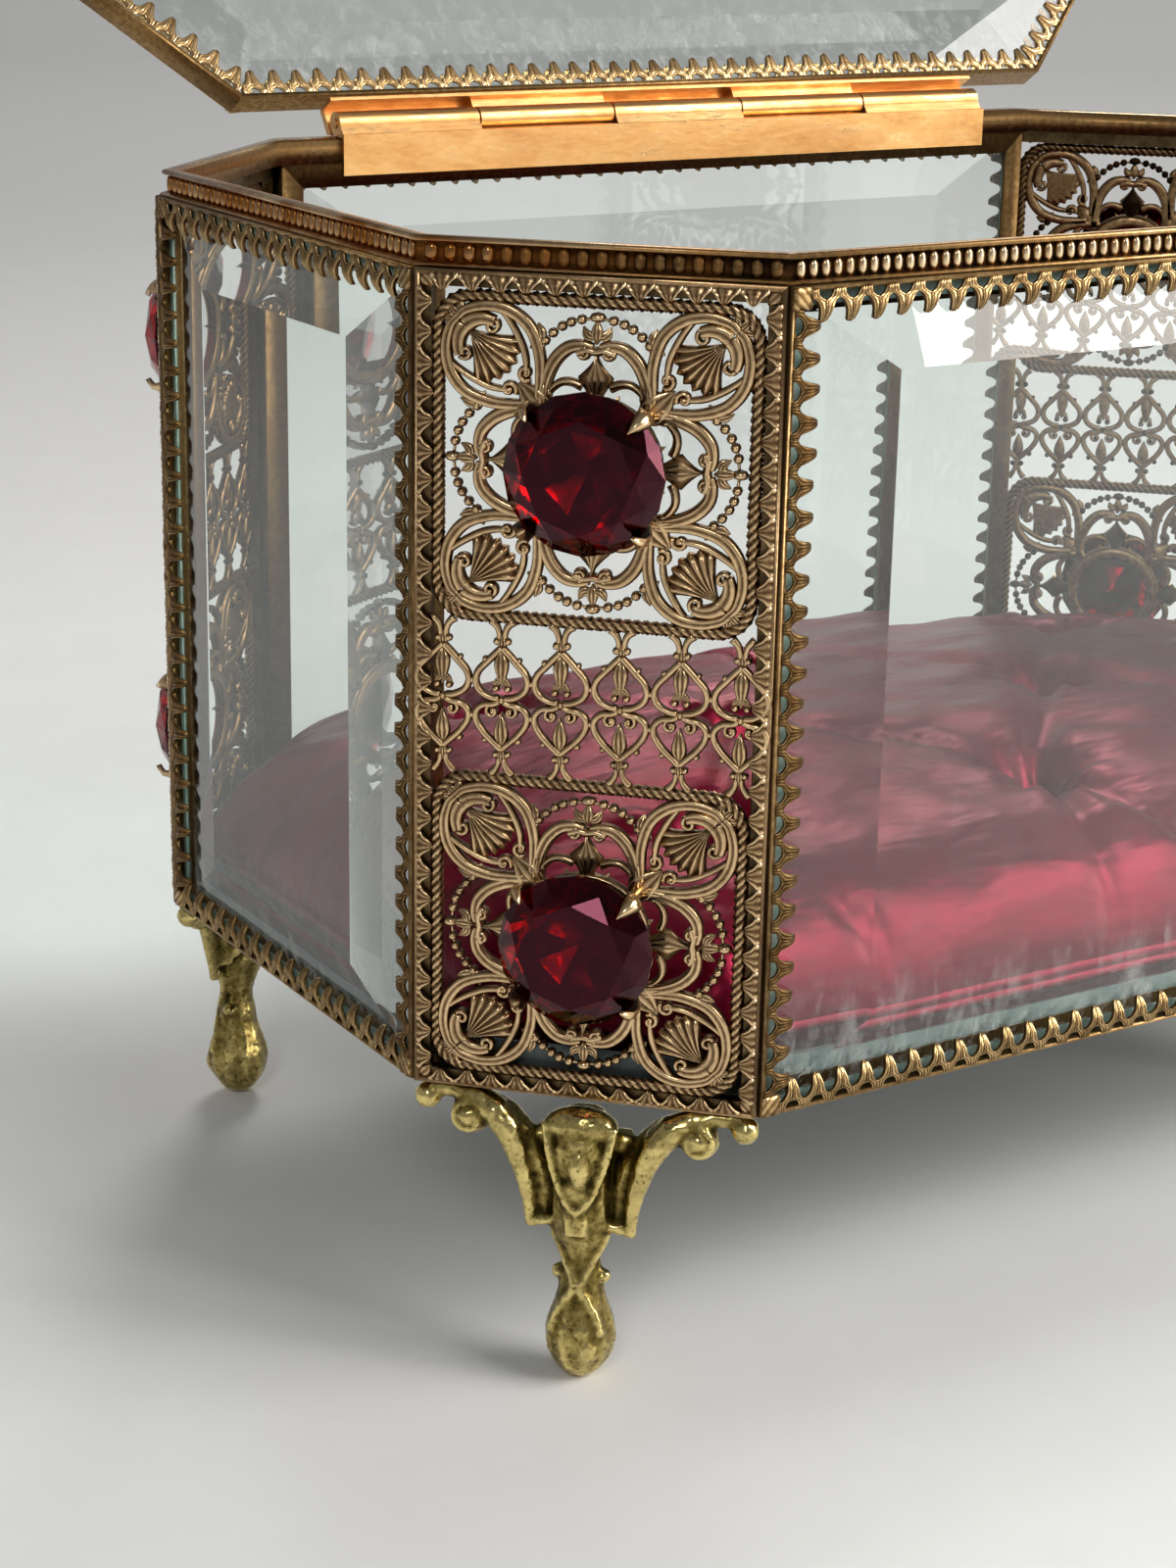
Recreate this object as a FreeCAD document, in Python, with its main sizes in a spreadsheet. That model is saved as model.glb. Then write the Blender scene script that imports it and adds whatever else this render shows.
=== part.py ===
"""Bridal casket: a footed, eight-sided keepsake box of bevelled glass and gilt filigree.

Millimetres, +Z up. The origin is on the floor, in the middle of the four feet.
X runs along the length and the front is at -Y. The lid stands open, as it rests on its stop.
"""

import FreeCAD
import Part
import Sketcher
import math
import os

from FreeCAD import Placement, Rotation, Vector

# Driving dimensions

SIZES = (
    ("length", 172.0, "casket, across the outer faces of the end panels"),
    ("width", 114.6, "casket, across the outer faces of the front and back panels"),
    ("panel_height", 86.0, "glass and corner panels"),
    ("foot_height", 32.7, "floor to the underside of the panels"),
    ("frame_depth", 4.0, "folded gallery strip round each glass, front to back"),
    ("strip_thickness", 0.5, "sheet of the gallery strip"),
    ("flange_width", 2.2, "front flange, up to the roots of the claws"),
    ("claw_length", 1.9, "claw beyond the flange"),
    ("claw_root", 2.6, "claw width at its root"),
    ("claw_pitch", 3.6, "claw to claw"),
    ("back_flange", 3.0, "plain flange behind the glass"),
    ("glass_thickness", 4.0, "glass inside the bevel"),
    ("glass_edge", 2.2, "glass at its bevelled edge"),
    ("glass_clearance", 0.1, "glass edge to the web of its strip"),
    ("bevel_side", 12.4, "bevel along the upright edges"),
    ("bevel_end", 8.2, "bevel along the top and bottom edges"),
    ("corner_gap", 0.45, "corner frame to the panel vertices, each side"),
    ("corner_depth", 1.4, "corner frame, front to back"),
    ("corner_border", 1.7, "corner frame round its window"),
    ("filigree_recess", 0.2, "filigree behind the face of the corner frame"),
    ("filigree_thickness", 1.0, "cast filigree"),
    ("filigree_clearance", 0.05, "filigree to its window and to its neighbour"),
    ("lattice_height", 15.6, "lattice band between the two rosettes of a corner"),
    ("rope_width", 1.4, "rope border of a rosette"),
    ("rope_corner", 3.0, "cut corner of the rope border"),
    ("wire_width", 1.1, "filigree loops"),
    ("collar_inner", 5.0, "rosette collar under the stone, inner radius"),
    ("collar_outer", 8.6, "rosette collar, outer radius"),
    ("loop_lap", 0.9, "loops over the edge of the collar"),
    ("corner_loop_width", 9.7, "oval loop in each corner of a rosette"),
    ("side_loop_width", 10.6, "horseshoe loop on each side of a rosette"),
    ("rail_width", 1.2, "lattice rails"),
    ("lattice_pitch", 6.15, "lattice column to column"),
    ("stone_diameter", 16.2, "round faceted stone"),
    ("stone_standoff", 4.8, "girdle in front of the panel face"),
    ("girdle", 0.4, "girdle of the stone"),
    ("crown_height", 2.4, "girdle to table"),
    ("table_diameter", 10.4, "flat table of the stone"),
    ("pavilion_depth", 4.9, "girdle to culet"),
    ("prong_width", 2.4, "leaf prongs of the setting"),
    ("prong_thickness", 0.9, "leaf prongs"),
    ("prong_clearance", 0.12, "prong to stone"),
    ("prong_reach", 1.5, "prong tip over the crown"),
    ("setting_height", 1.0, "base ring of the setting"),
    ("rim_height", 3.0, "top rim"),
    ("rim_inset", 0.6, "top flange of the rim, behind the panel faces"),
    ("rim_band_inset", 1.1, "beaded band of the rim, behind the panel faces"),
    ("rim_inner", 4.4, "inner face of the rim, behind the panel faces"),
    ("rim_flange", 0.7, "top flange of the rim"),
    ("tray_floor", 1.0, "base tray"),
    ("tray_wall", 0.6, "upturned wall of the tray"),
    ("tray_wall_height", 5.0, "wall above the underside of the tray"),
    ("cushion_height", 25.0, "crown of the cushion above the tray floor"),
    ("cushion_clearance", 0.4, "cushion to the tray wall"),
    ("cushion_belly", 7.5, "widest part of the cushion above the tray floor"),
    ("cushion_tuck", 2.2, "cushion drawn in at its foot"),
    ("tuft_spacing", 46.0, "tuft to tuft along the cushion"),
    ("tuft_row", 27.0, "outer rows of tufts from the middle"),
    ("tuft_radius", 14.0, "tuft, at its own depth above the crown about it"),
    ("tuft_depth", 7.0, "tuft below the crown about it"),
    ("wing_thickness", 3.0, "wings of the cast feet"),
    ("hinge_end", 8.27, "knuckle hinge, short of each end of the back panel"),
    ("knuckle_count", 5, "knuckles, the outer ones on the casket"),
    ("knuckle_gap", 0.3, "knuckle to knuckle"),
    ("barrel_radius", 1.5, "knuckles"),
    ("barrel_clearance", 0.1, "knuckles to the rim"),
    ("pin_radius", 0.6, "hinge pin"),
    ("pin_clearance", 0.05, "pin to knuckle, all round"),
    ("leaf_thickness", 0.5, "hinge leaves"),
    ("leaf_drop", 1.6, "casket leaf below the rim"),
    ("lid_inset", 0.9, "lid behind the panel faces"),
    ("lid_setback", 3.3, "hinge axis to the back of the lid frame"),
    ("lid_gap", 0.2, "closed lid above the rim"),
    ("lid_bevel", 11.0, "bevel of the lid glass"),
    ("lid_angle", 123.5, "lid opening, in degrees"),
    ("stop_land", 0.9, "stop edge of the open lid behind the hinge axis"),
    ("stop_gap", 0.06, "stop face of the open lid above the rim"),
)

doc = FreeCAD.newDocument("bridal_casket")
sheet = doc.addObject("Spreadsheet::Sheet", "dims")
for row, (alias, number, note) in enumerate(SIZES, start=1):
    sheet.set(f"A{row}", note)
    sheet.set(f"B{row}", str(number))
    sheet.setAlias(f"B{row}", alias)
doc.recompute()

pieces = []


def value(expression):
    """Number that an expression on the sheet stands for."""
    return float(sheet.evalExpression(str(expression)))


def size(alias):
    """Number in one cell of the sheet."""
    return float(getattr(sheet, alias))


# Expressions shared by several pieces

WINDOW_HEIGHT = "(dims.panel_height - 2 * dims.corner_border)"
ROSETTE = f"(({WINDOW_HEIGHT} - dims.lattice_height) / 2 - 2 * dims.filigree_clearance)"
WINDOW_WIDTH = f"({ROSETTE} + 2 * dims.filigree_clearance)"
CORNER_FACE = f"({WINDOW_WIDTH} + 2 * dims.corner_border)"
CORNER_WIDTH = f"({CORNER_FACE} + 2 * dims.corner_gap)"
LEG = f"({CORNER_WIDTH} / sqrt(2))"
LONG_PANEL = f"(dims.length - 2 * {LEG})"
SHORT_PANEL = f"(dims.width - 2 * {LEG})"
GLASS_INSET = "(dims.strip_thickness + dims.glass_clearance)"
RIM_BOTTOM = "(dims.foot_height + dims.panel_height)"
RIM_TOP = f"({RIM_BOTTOM} + dims.rim_height)"
AXIS_LIFT = "(dims.barrel_radius + dims.barrel_clearance)"
HINGE_Y = f"(dims.width / 2 - dims.rim_inset - {AXIS_LIFT})"
HINGE_Z = f"({RIM_TOP} + {AXIS_LIFT})"
LEAF_BACK = f"({HINGE_Y} - dims.width / 2 + dims.rim_inner)"
TAB_TOP = f"(dims.leaf_thickness - {AXIS_LIFT})"
HINGE_LENGTH = f"({LONG_PANEL} - 2 * dims.hinge_end)"


# Helpers for bodies, sketches and features

def piece(label, placement):
    """Body of one sub-part, with its name and place."""
    body = doc.addObject("PartDesign::Body", label)
    body.Label = label
    body.Placement = placement
    pieces.append(body)
    return body


def shaped(label, shape, placement):
    """Sub-part whose form comes from a formula."""
    feature = doc.addObject("Part::Feature", label)
    feature.Label = label
    feature.Shape = shape
    feature.Placement = placement
    pieces.append(feature)
    return feature


def origin_feature(body, role):
    """Origin plane or axis of a body."""
    return next(item for item in body.Origin.OriginFeatures if item.Role == role)


def blank_sketch(body, name, plane, depth, turn=0.0, across="0", up="0"):
    """Sketch on an origin plane, shifted along its normal and turned in its plane."""
    sketch = body.newObject("Sketcher::SketchObject", f"{body.Name}_{name}")
    sketch.AttachmentSupport = [(origin_feature(body, plane), "")]
    sketch.MapMode = "FlatFace"
    sketch.AttachmentOffset = Placement(Vector(), Rotation(Vector(0, 0, 1), turn))
    sketch.setExpression("AttachmentOffset.Base.x", across)
    sketch.setExpression("AttachmentOffset.Base.y", up)
    sketch.setExpression("AttachmentOffset.Base.z", depth)
    return sketch


def outline(body, name, plane, loops, depth="0", turn=0.0, across="0", up="0"):
    """Sketch of closed straight-sided loops whose corners are bound to the sheet."""
    sketch = blank_sketch(body, name, plane, depth, turn, across, up)
    for loop in loops:
        first = sketch.GeometryCount
        count = len(loop)
        corners = [Vector(value(x), value(y), 0) for x, y in loop]
        for k in range(count):
            sketch.addGeometry(Part.LineSegment(corners[k], corners[(k + 1) % count]))
        for k in range(count):
            sketch.addConstraint(Sketcher.Constraint("Coincident", first + k, 2, first + (k + 1) % count, 1))
            for kind, expression in zip(("DistanceX", "DistanceY"), loop[k]):
                index = sketch.addConstraint(
                    Sketcher.Constraint(kind, -1, 1, first + k, 1, value(expression)))
                sketch.setExpression(f"Constraints[{index}]", expression)
    return sketch


def discs(body, name, plane, radii, depth="0"):
    """Sketch of circles about the origin whose radii are bound to the sheet."""
    sketch = blank_sketch(body, name, plane, depth)
    for radius in radii:
        item = sketch.addGeometry(Part.Circle(Vector(), Vector(0, 0, 1), value(radius)))
        sketch.addConstraint(Sketcher.Constraint("Coincident", item, 3, -1, 1))
        index = sketch.addConstraint(Sketcher.Constraint("Radius", item, value(radius)))
        sketch.setExpression(f"Constraints[{index}]", radius)
    return sketch


def pad(sketch, length, against=False, both=False):
    """Pad of a sketch along its normal, against it, or to both sides."""
    body = sketch.getParentGeoFeatureGroup()
    feature = body.newObject("PartDesign::Pad", f"{sketch.Name}_pad")
    feature.Profile = sketch
    feature.SideType = "Symmetric" if both else "One side"
    feature.Reversed = against
    feature.setExpression("Length", length)
    return feature


def cut_through(sketch):
    """Pocket of a sketch through the whole body, both ways."""
    body = sketch.getParentGeoFeatureGroup()
    feature = body.newObject("PartDesign::Pocket", f"{sketch.Name}_cut")
    feature.Profile = sketch
    feature.SideType = "Symmetric"
    feature.Type = "ThroughAll"
    return feature


def rectangle(width, height):
    """Corners of a rectangle about the origin."""
    half_width = f"({width}) / 2"
    half_height = f"({height}) / 2"
    return ((f"-{half_width}", f"-{half_height}"), (half_width, f"-{half_height}"),
            (half_width, half_height), (f"-{half_width}", half_height))


def framed(width, height, inset):
    """Rectangle with a smaller one inside it."""
    inner = rectangle(f"({width}) - 2 * {inset}", f"({height}) - 2 * {inset}")
    return rectangle(width, height), inner


def octagon(inset, corner_inset=None, back=None):
    """Plan of the casket drawn in by an inset, which may differ at the corners and at the back."""
    end = f"(dims.length / 2 - {inset})"
    front = f"(dims.width / 2 - {inset})"
    rear = f"({back} - {inset})" if back else front
    reach = f"(dims.length / 2 + dims.width / 2 - {LEG} - sqrt(2) * {corner_inset or inset})"
    return ((f"-({reach} - {front})", f"-{front}"), (f"({reach} - {front})", f"-{front}"),
            (end, f"-({reach} - {end})"), (end, f"({reach} - {end})"),
            (f"({reach} - {rear})", rear), (f"-({reach} - {rear})", rear),
            (f"-{end}", f"({reach} - {end})"), (f"-{end}", f"-({reach} - {end})"))


def clawed(corners):
    """Loop of numbers from a loop of expressions, with a row of claws pointing in from each side."""
    points = [Vector(value(x), value(y), 0) for x, y in corners]
    half = size("claw_root") / 2
    pitch = size("claw_pitch")
    margin = size("claw_length") + half
    loop = []
    for start, end in zip(points, points[1:] + points[:1]):
        along = (end - start).normalize()
        inward = Vector(-along.y, along.x, 0) * size("claw_length")
        run = (end - start).Length
        count = int((run - 2 * margin) / pitch) + 1
        loop.append(start)
        for k in range(count):
            middle = start + along * (run / 2 + (k - (count - 1) / 2) * pitch)
            loop += [middle - along * half, middle + inward, middle + along * half]
    return loop


def clawed_flange(body, plane, outer, inner, depth, against=False):
    """Pad of a flange whose inner edge carries the claws."""
    sketch = blank_sketch(body, "flange", plane, depth)
    for loop in ([Vector(value(x), value(y), 0) for x, y in outer], clawed(inner)):
        sides = zip(loop, loop[1:] + loop[:1])
        sketch.addGeometry([Part.LineSegment(start, end) for start, end in sides])
    return pad(sketch, "dims.strip_thickness", against=against)


def faceted(rings):
    """Solid with flat faces through closed rings of as many points each, one above another."""
    faces = [Part.Face(Part.makePolygon(ring + ring[:1])) for ring in (rings[0], rings[-1])]
    for lower, upper in zip(rings, rings[1:]):
        for k in range(len(lower)):
            nearby = (k + 1) % len(lower)
            faces.append(Part.Face(Part.makePolygon([lower[k], lower[nearby], upper[nearby], lower[k]])))
            faces.append(Part.Face(Part.makePolygon([lower[k], upper[nearby], upper[k], lower[k]])))
    shell = Part.Shell(faces)
    shell.sewShape()
    solid = Part.Solid(shell)
    if solid.Volume < 0:
        solid.reverse()
    return solid.removeSplitter()


# Walls of the casket, in eighths of a turn from the front
WALLS = ("front", "front_right", "right", "back_right", "back", "back_left", "left", "front_left")
SIDES = WALLS[0::2]
CORNERS = WALLS[1::2]


def panel_place(wall, height):
    """Middle of the outer face of a wall, at a height."""
    angle = 45 * WALLS.index(wall)
    x_way = round(math.sin(math.radians(angle)))
    y_way = -round(math.cos(math.radians(angle)))
    cant = value(LEG) / 2 if wall in CORNERS else 0
    middle = Vector(x_way * (size("length") / 2 - cant), y_way * (size("width") / 2 - cant), height)
    return Placement(middle, Rotation(Vector(0, 0, 1), angle))


PANEL_MIDDLE = size("foot_height") + size("panel_height") / 2

# Base tray: a floor with an upturned wall against the backs of the panels

tray = piece("base_tray", Placement(Vector(0, 0, size("foot_height")), Rotation()))
tray_outer = octagon("dims.frame_depth", "dims.corner_depth")
tray_inner = octagon("(dims.frame_depth + dims.tray_wall)", "(dims.corner_depth + dims.tray_wall)")
pad(outline(tray, "floor", "XY_Plane", [tray_outer]), "dims.tray_floor")
pad(outline(tray, "wall", "XY_Plane", [tray_outer, tray_inner]), "dims.tray_wall_height")

# Bevelled glass panels and the clawed strips that hold them

for side in SIDES:
    place = panel_place(side, PANEL_MIDDLE)
    panel_width = LONG_PANEL if side in ("front", "back") else SHORT_PANEL
    glass_width = f"({panel_width} - 2 * {GLASS_INSET})"
    glass_height = f"(dims.panel_height - 2 * {GLASS_INSET})"
    back_depth = "(dims.frame_depth - dims.strip_thickness)"

    glass = piece(f"{side}_glass", place)
    blank = outline(glass, "blank", "XZ_Plane", [rectangle(glass_width, glass_height)], f"-{back_depth}")
    pad(blank, "dims.glass_thickness")
    face_depth = f"({back_depth} - dims.glass_thickness)"
    edge_depth = f"({back_depth} - dims.glass_edge)"
    for name, plane, reach, bevel in (("upright_bevels", "XY_Plane", glass_width, "dims.bevel_side"),
                                      ("level_bevels", "YZ_Plane", glass_height, "dims.bevel_end")):
        edge = f"({reach} / 2)"
        wedge = [(f"({edge} - {bevel})", face_depth), (edge, face_depth), (edge, edge_depth)]
        other = [(f"-{x}", y) for x, y in wedge]
        if plane == "YZ_Plane":
            wedge, other = [[(y, x) for x, y in loop] for loop in (wedge, other)]
        cut_through(outline(glass, name, plane, [wedge, other]))

    frame = piece(f"{side}_claw_frame", place)
    web = framed(panel_width, "dims.panel_height", "dims.strip_thickness")
    lip = framed(panel_width, "dims.panel_height", "dims.back_flange")
    pad(outline(frame, "web", "XZ_Plane", web), "dims.frame_depth", against=True)
    pad(outline(frame, "lip", "XZ_Plane", lip, f"-{back_depth}"), "dims.strip_thickness", against=True)
    flange = framed(panel_width, "dims.panel_height", "dims.flange_width")
    clawed_flange(frame, "XZ_Plane", *flange, "0", against=True)

# Canted corner frames, mitred to stand parallel to their neighbours

for corner in CORNERS:
    frame = piece(f"{corner}_corner_frame", panel_place(corner, PANEL_MIDDLE))
    half_front = f"{CORNER_FACE} / 2"
    half_back = f"({CORNER_FACE} / 2 - dims.corner_depth)"
    mitre = ((f"-{half_front}", "0"), (half_front, "0"),
             (half_back, "dims.corner_depth"), (f"-{half_back}", "dims.corner_depth"))
    pad(outline(frame, "mitre", "XY_Plane", [mitre]), "dims.panel_height", both=True)
    cut_through(outline(frame, "window", "XZ_Plane", [rectangle(WINDOW_WIDTH, WINDOW_HEIGHT)]))


# Filigree: flat loops of cast wire, drawn in the plane of the panel and given their thickness

def flat_face(points):
    """Face in the panel plane through (across, up) points."""
    corners = [Vector(across, size("filigree_recess"), up) for across, up in points]
    return Part.Face(Part.makePolygon(corners + corners[:1]))


def oval(across, up, half_across, half_up, turn=0.0, sides=8):
    """Points round an oval, with a flat side at each end of its axes."""
    lean = math.radians(turn)
    points = []
    for k in range(sides):
        step = 2 * math.pi * (k + 0.5) / sides
        x = half_across * math.cos(step)
        z = half_up * math.sin(step)
        points.append((across + x * math.cos(lean) - z * math.sin(lean),
                       up + x * math.sin(lean) + z * math.cos(lean)))
    return points


def wire_loop(across, up, half_across, half_up, turn=0.0, sides=8, wire=size("wire_width")):
    """Closed loop of flat wire."""
    outer = flat_face(oval(across, up, half_across, half_up, turn, sides))
    return outer.cut(flat_face(oval(across, up, half_across - wire, half_up - wire, turn, sides)))


def cut_corner_square(half, corner):
    """Points of a square with its corners cut off."""
    near = half - corner
    return [(half, -near), (half, near), (near, half), (-near, half),
            (-half, near), (-half, -near), (-near, -half), (near, -half)]


def cast(faces):
    """Faces given the filigree's thickness and joined into one openwork casting."""
    solids = [face.extrude(Vector(0, size("filigree_thickness"), 0)) for face in faces]
    return solids[0].multiFuse(solids[1:]).removeSplitter()


def rosette_shape():
    """Square rosette: rope border, collar for the stone, corner ovals and side horseshoes."""
    half = value(ROSETTE) / 2
    rope = size("rope_width")
    border = flat_face(cut_corner_square(half, size("rope_corner")))
    border = border.cut(flat_face(cut_corner_square(half - rope, size("rope_corner"))))
    band = size("collar_outer") - size("collar_inner")
    collar = wire_loop(0, 0, size("collar_outer"), size("collar_outer"), sides=12, wire=band)
    faces = [border, collar]
    corner_reach = (2 * (half - rope) - size("rope_corner")) / math.sqrt(2) + size("wire_width")
    side_reach = half - rope / 2
    near_end = size("collar_outer") - size("loop_lap")
    oval_half = (corner_reach - near_end) / 2
    horseshoe_half = (side_reach - near_end) / 2
    for quarter in range(4):
        diagonal = math.radians(90 * quarter + 45)
        distance = near_end + oval_half
        faces.append(wire_loop(distance * math.cos(diagonal), distance * math.sin(diagonal),
                               oval_half, size("corner_loop_width") / 2, math.degrees(diagonal)))
        square = math.radians(90 * quarter)
        distance = near_end + horseshoe_half
        faces.append(wire_loop(distance * math.cos(square), distance * math.sin(square),
                               horseshoe_half, size("side_loop_width") / 2, math.degrees(square)))
    return cast(faces)


def lattice_shape():
    """Lattice band between the rosettes: pointed arches between two rails."""
    half_width = value(ROSETTE) / 2
    half_height = size("lattice_height") / 2
    rail = size("rail_width")
    wire = size("wire_width")
    outer = flat_face([(-half_width, -half_height), (half_width, -half_height),
                       (half_width, half_height), (-half_width, half_height)])
    near_width = half_width - rail
    near_height = half_height - rail
    faces = [outer.cut(flat_face([(-near_width, -near_height), (near_width, -near_height),
                                  (near_width, near_height), (-near_width, near_height)]))]
    pitch = size("lattice_pitch")
    columns = int(2 * near_width / pitch)
    shoulder = near_height * 0.3
    for k in range(columns):
        middle = (k - (columns - 1) / 2) * pitch
        wide = pitch / 2 + wire / 4
        arch = [(middle - wide, -shoulder), (middle, -half_height), (middle + wide, -shoulder),
                (middle + wide, shoulder), (middle, half_height), (middle - wide, shoulder)]
        slim = wide - wire
        tip = half_height - wire * 1.6
        opening = [(middle - slim, -shoulder), (middle, -tip), (middle + slim, -shoulder),
                   (middle + slim, shoulder), (middle, tip), (middle - slim, shoulder)]
        faces.append(flat_face(arch).cut(flat_face(opening)))
    return cast(faces)


ROSETTE_HEIGHTS = {"lower": size("foot_height") + size("corner_border") + value(WINDOW_WIDTH) / 2,
                   "upper": value(RIM_BOTTOM) - size("corner_border") - value(WINDOW_WIDTH) / 2}
rosette_form = rosette_shape()
lattice_form = lattice_shape()
for corner in CORNERS:
    for level, height in ROSETTE_HEIGHTS.items():
        shaped(f"{corner}_{level}_rosette", rosette_form.copy(), panel_place(corner, height))
    shaped(f"{corner}_lattice", lattice_form.copy(), panel_place(corner, PANEL_MIDDLE))


# Stones, cut by crossing many-sided pyramids, and the pronged settings that hold them

STAR_LEAN = 1.8


def many_sided(sides, radius, depth, turn=0.0):
    """Regular polygon across the panel normal, sized to its flats."""
    corner = radius / math.cos(math.pi / sides)
    points = []
    for k in range(sides):
        step = 2 * math.pi * k / sides + math.radians(turn)
        points.append(Vector(corner * math.cos(step), depth, corner * math.sin(step)))
    return points


def pyramid(sides, wide, wide_depth, narrow, narrow_depth, turn=0.0):
    """Flat-sided pyramid between two depths."""
    return faceted([many_sided(sides, wide, wide_depth, turn), many_sided(sides, narrow, narrow_depth, turn)])


def stone_shape():
    """Round stone: table, two rings of crown facets, girdle and pavilion, with flats at the prongs."""
    radius = size("stone_diameter") / 2
    table = size("table_diameter") / 2
    girdle_back = -size("stone_standoff") + size("girdle") / 2
    girdle_front = girdle_back - size("girdle")
    table_front = girdle_front - size("crown_height")
    culet = girdle_back + size("pavilion_depth")
    slope = (radius - table) / size("crown_height")
    crown_depth = girdle_back - table_front
    mains = pyramid(8, table + slope * crown_depth, girdle_back, table, table_front, turn=22.5)
    stars = pyramid(8, table + STAR_LEAN * slope * crown_depth, girdle_back, table, table_front)
    blank = pyramid(16, radius, girdle_back, radius, table_front, turn=11.25)
    crown = mains.common(stars).common(blank)
    pavilion = pyramid(16, radius, girdle_back, size("girdle") / 2, culet, turn=11.25)
    return crown.fuse(pavilion).removeSplitter().Solids[0]


stone_form = stone_shape()

STONE_RADIUS = "dims.stone_diameter / 2"
GIRDLE_FRONT = "(dims.stone_standoff + dims.girdle / 2)"
PRONG_INNER = f"({STONE_RADIUS} + dims.prong_clearance)"
PRONG_OUTER = f"({PRONG_INNER} + dims.prong_thickness)"
CROWN_SLOPE = f"(dims.crown_height / ({STONE_RADIUS} - dims.table_diameter / 2))"
TIP_REACH = f"({STONE_RADIUS} - dims.prong_reach)"
TIP_UNDER = f"({GIRDLE_FRONT} + {CROWN_SLOPE} * dims.prong_reach + dims.prong_clearance)"
PRONG_ROOT = "(dims.collar_inner + dims.prong_thickness)"
SEAT = "dims.filigree_recess"

for corner in CORNERS:
    for level, height in ROSETTE_HEIGHTS.items():
        place = panel_place(corner, height)
        shaped(f"{corner}_{level}_stone", stone_form.copy(), place)
        diagonal = Placement(Vector(), Rotation(Vector(0, 1, 0), 45))
        setting = piece(f"{corner}_{level}_setting", place.multiply(diagonal))
        prong = ((PRONG_ROOT, SEAT), (f"{PRONG_ROOT} + dims.prong_thickness", SEAT),
                 (PRONG_OUTER, f"-{GIRDLE_FRONT}"),
                 (TIP_REACH, f"-({TIP_UNDER} + dims.prong_thickness / 2)"), (TIP_REACH, f"-{TIP_UNDER}"),
                 (PRONG_INNER, f"-({GIRDLE_FRONT} + dims.prong_clearance)"),
                 (PRONG_INNER, "dims.girdle - dims.stone_standoff"))
        ring = []
        for radius in (f"({PRONG_ROOT} + dims.prong_thickness)", PRONG_ROOT):
            corners = []
            for k in range(8):
                step = f"({45 * k + 22.5} * 1 deg)"
                corners.append((f"{radius} * cos({step})", f"{radius} * sin({step})"))
            ring.append(corners)
        pad(outline(setting, "ring", "XZ_Plane", ring, f"-{SEAT}"), "dims.setting_height")
        leaf = pad(outline(setting, "prong", "XY_Plane", [prong]), "dims.prong_width", both=True)
        turn = setting.newObject("PartDesign::PolarPattern", f"{corner}_{level}_prongs")
        turn.Originals = [leaf]
        turn.Axis = (origin_feature(setting, "Y_Axis"), [""])
        turn.Angle = 360
        turn.Occurrences = 4
        setting.Tip = turn

# Cast feet: scrolled wings under the corner panels, and a leg with knee, neck and toe

# Half outlines from the front: half width, then height as a share of the foot's height
# A wing's half width is a share of half the corner's width, a leg's is a share of the foot's height
WING_HALF = ((0.984, 1), (1.016, 0.933), (0.952, 0.869), (0.825, 0.878), (0.772, 0.817),
             (0.646, 0.807), (0.54, 0.85), (0.402, 0.774), (0.275, 0.706))
LEG_HALF = ((0.135, 0.951), (0.159, 0.817), (0.165, 0.615), (0.202, 0.541), (0.135, 0.492),
            (0.089, 0.398), (0.107, 0.349), (0.086, 0.312), (0.131, 0.214), (0.138, 0.135),
            (0.11, 0.049), (0.08, 0))
# Side outline: distance in front of the panel face, then height, both as shares of the foot's height
SHIN_FRONT = ((-0.012, 1), (0.037, 0.927), (0.11, 0.829), (0.116, 0.725), (0.061, 0.615),
              (0.018, 0.511), (-0.018, 0.367), (0.006, 0.312), (0.08, 0.214), (0.098, 0.135),
              (0.073, 0.049), (0.043, 0))
LEG_BACK = "(dims.foot_height * 0.14)"
LEG_BLANK = "(dims.foot_height * 0.31)"
CLEAR_OF_LEG = "-(dims.foot_height * 0.6)"
WING_SETBACK = 0.4


def foot_point(share, rise, reach="dims.foot_height"):
    """Point of a foot's outline: a share of a reach, and a height below the panels."""
    return f"({share} * {reach})", f"({rise} - 1) * dims.foot_height"


def symmetric(half):
    """Outline from its right half, given from top to bottom."""
    return list(half) + [(f"-({x})", z) for x, z in reversed(half)]


wing_half = [foot_point(share, rise, f"{CORNER_WIDTH} / 2") for share, rise in WING_HALF]
leg_half = [foot_point(share, rise) for share, rise in LEG_HALF]
shin = [foot_point(-share, rise) for share, rise in SHIN_FRONT]
front_waste = shin + [(CLEAR_OF_LEG, "-dims.foot_height"), (CLEAR_OF_LEG, "0")]

for corner in CORNERS:
    foot = piece(f"{corner}_foot", panel_place(corner, size("foot_height")))
    pad(outline(foot, "leg", "XZ_Plane", [symmetric(leg_half)], f"-{LEG_BACK}"), LEG_BLANK)
    cut_through(outline(foot, "shin", "YZ_Plane", [front_waste]))
    wing_back = f"-(dims.wing_thickness + {WING_SETBACK})"
    pad(outline(foot, "wings", "XZ_Plane", [symmetric(wing_half)], wing_back), "dims.wing_thickness")

# Top rim: a beaded band under a thin flange

rim = piece("top_rim", Placement(Vector(0, 0, value(RIM_BOTTOM)), Rotation()))
rim_hole = octagon("dims.rim_inner")
pad(outline(rim, "band", "XY_Plane", [octagon("dims.rim_band_inset"), rim_hole]), "dims.rim_height")
pad(outline(rim, "flange", "XY_Plane", [octagon("dims.rim_inset"), rim_hole],
            "dims.rim_height - dims.rim_flange"), "dims.rim_flange")


# Cushion: drawn in at its foot, swelling to a crown, with tufts sewn down into it

CUSHION_STEPS = 6
TUFT_POINT = 0.6
TUFT_SIDES = 12


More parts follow.
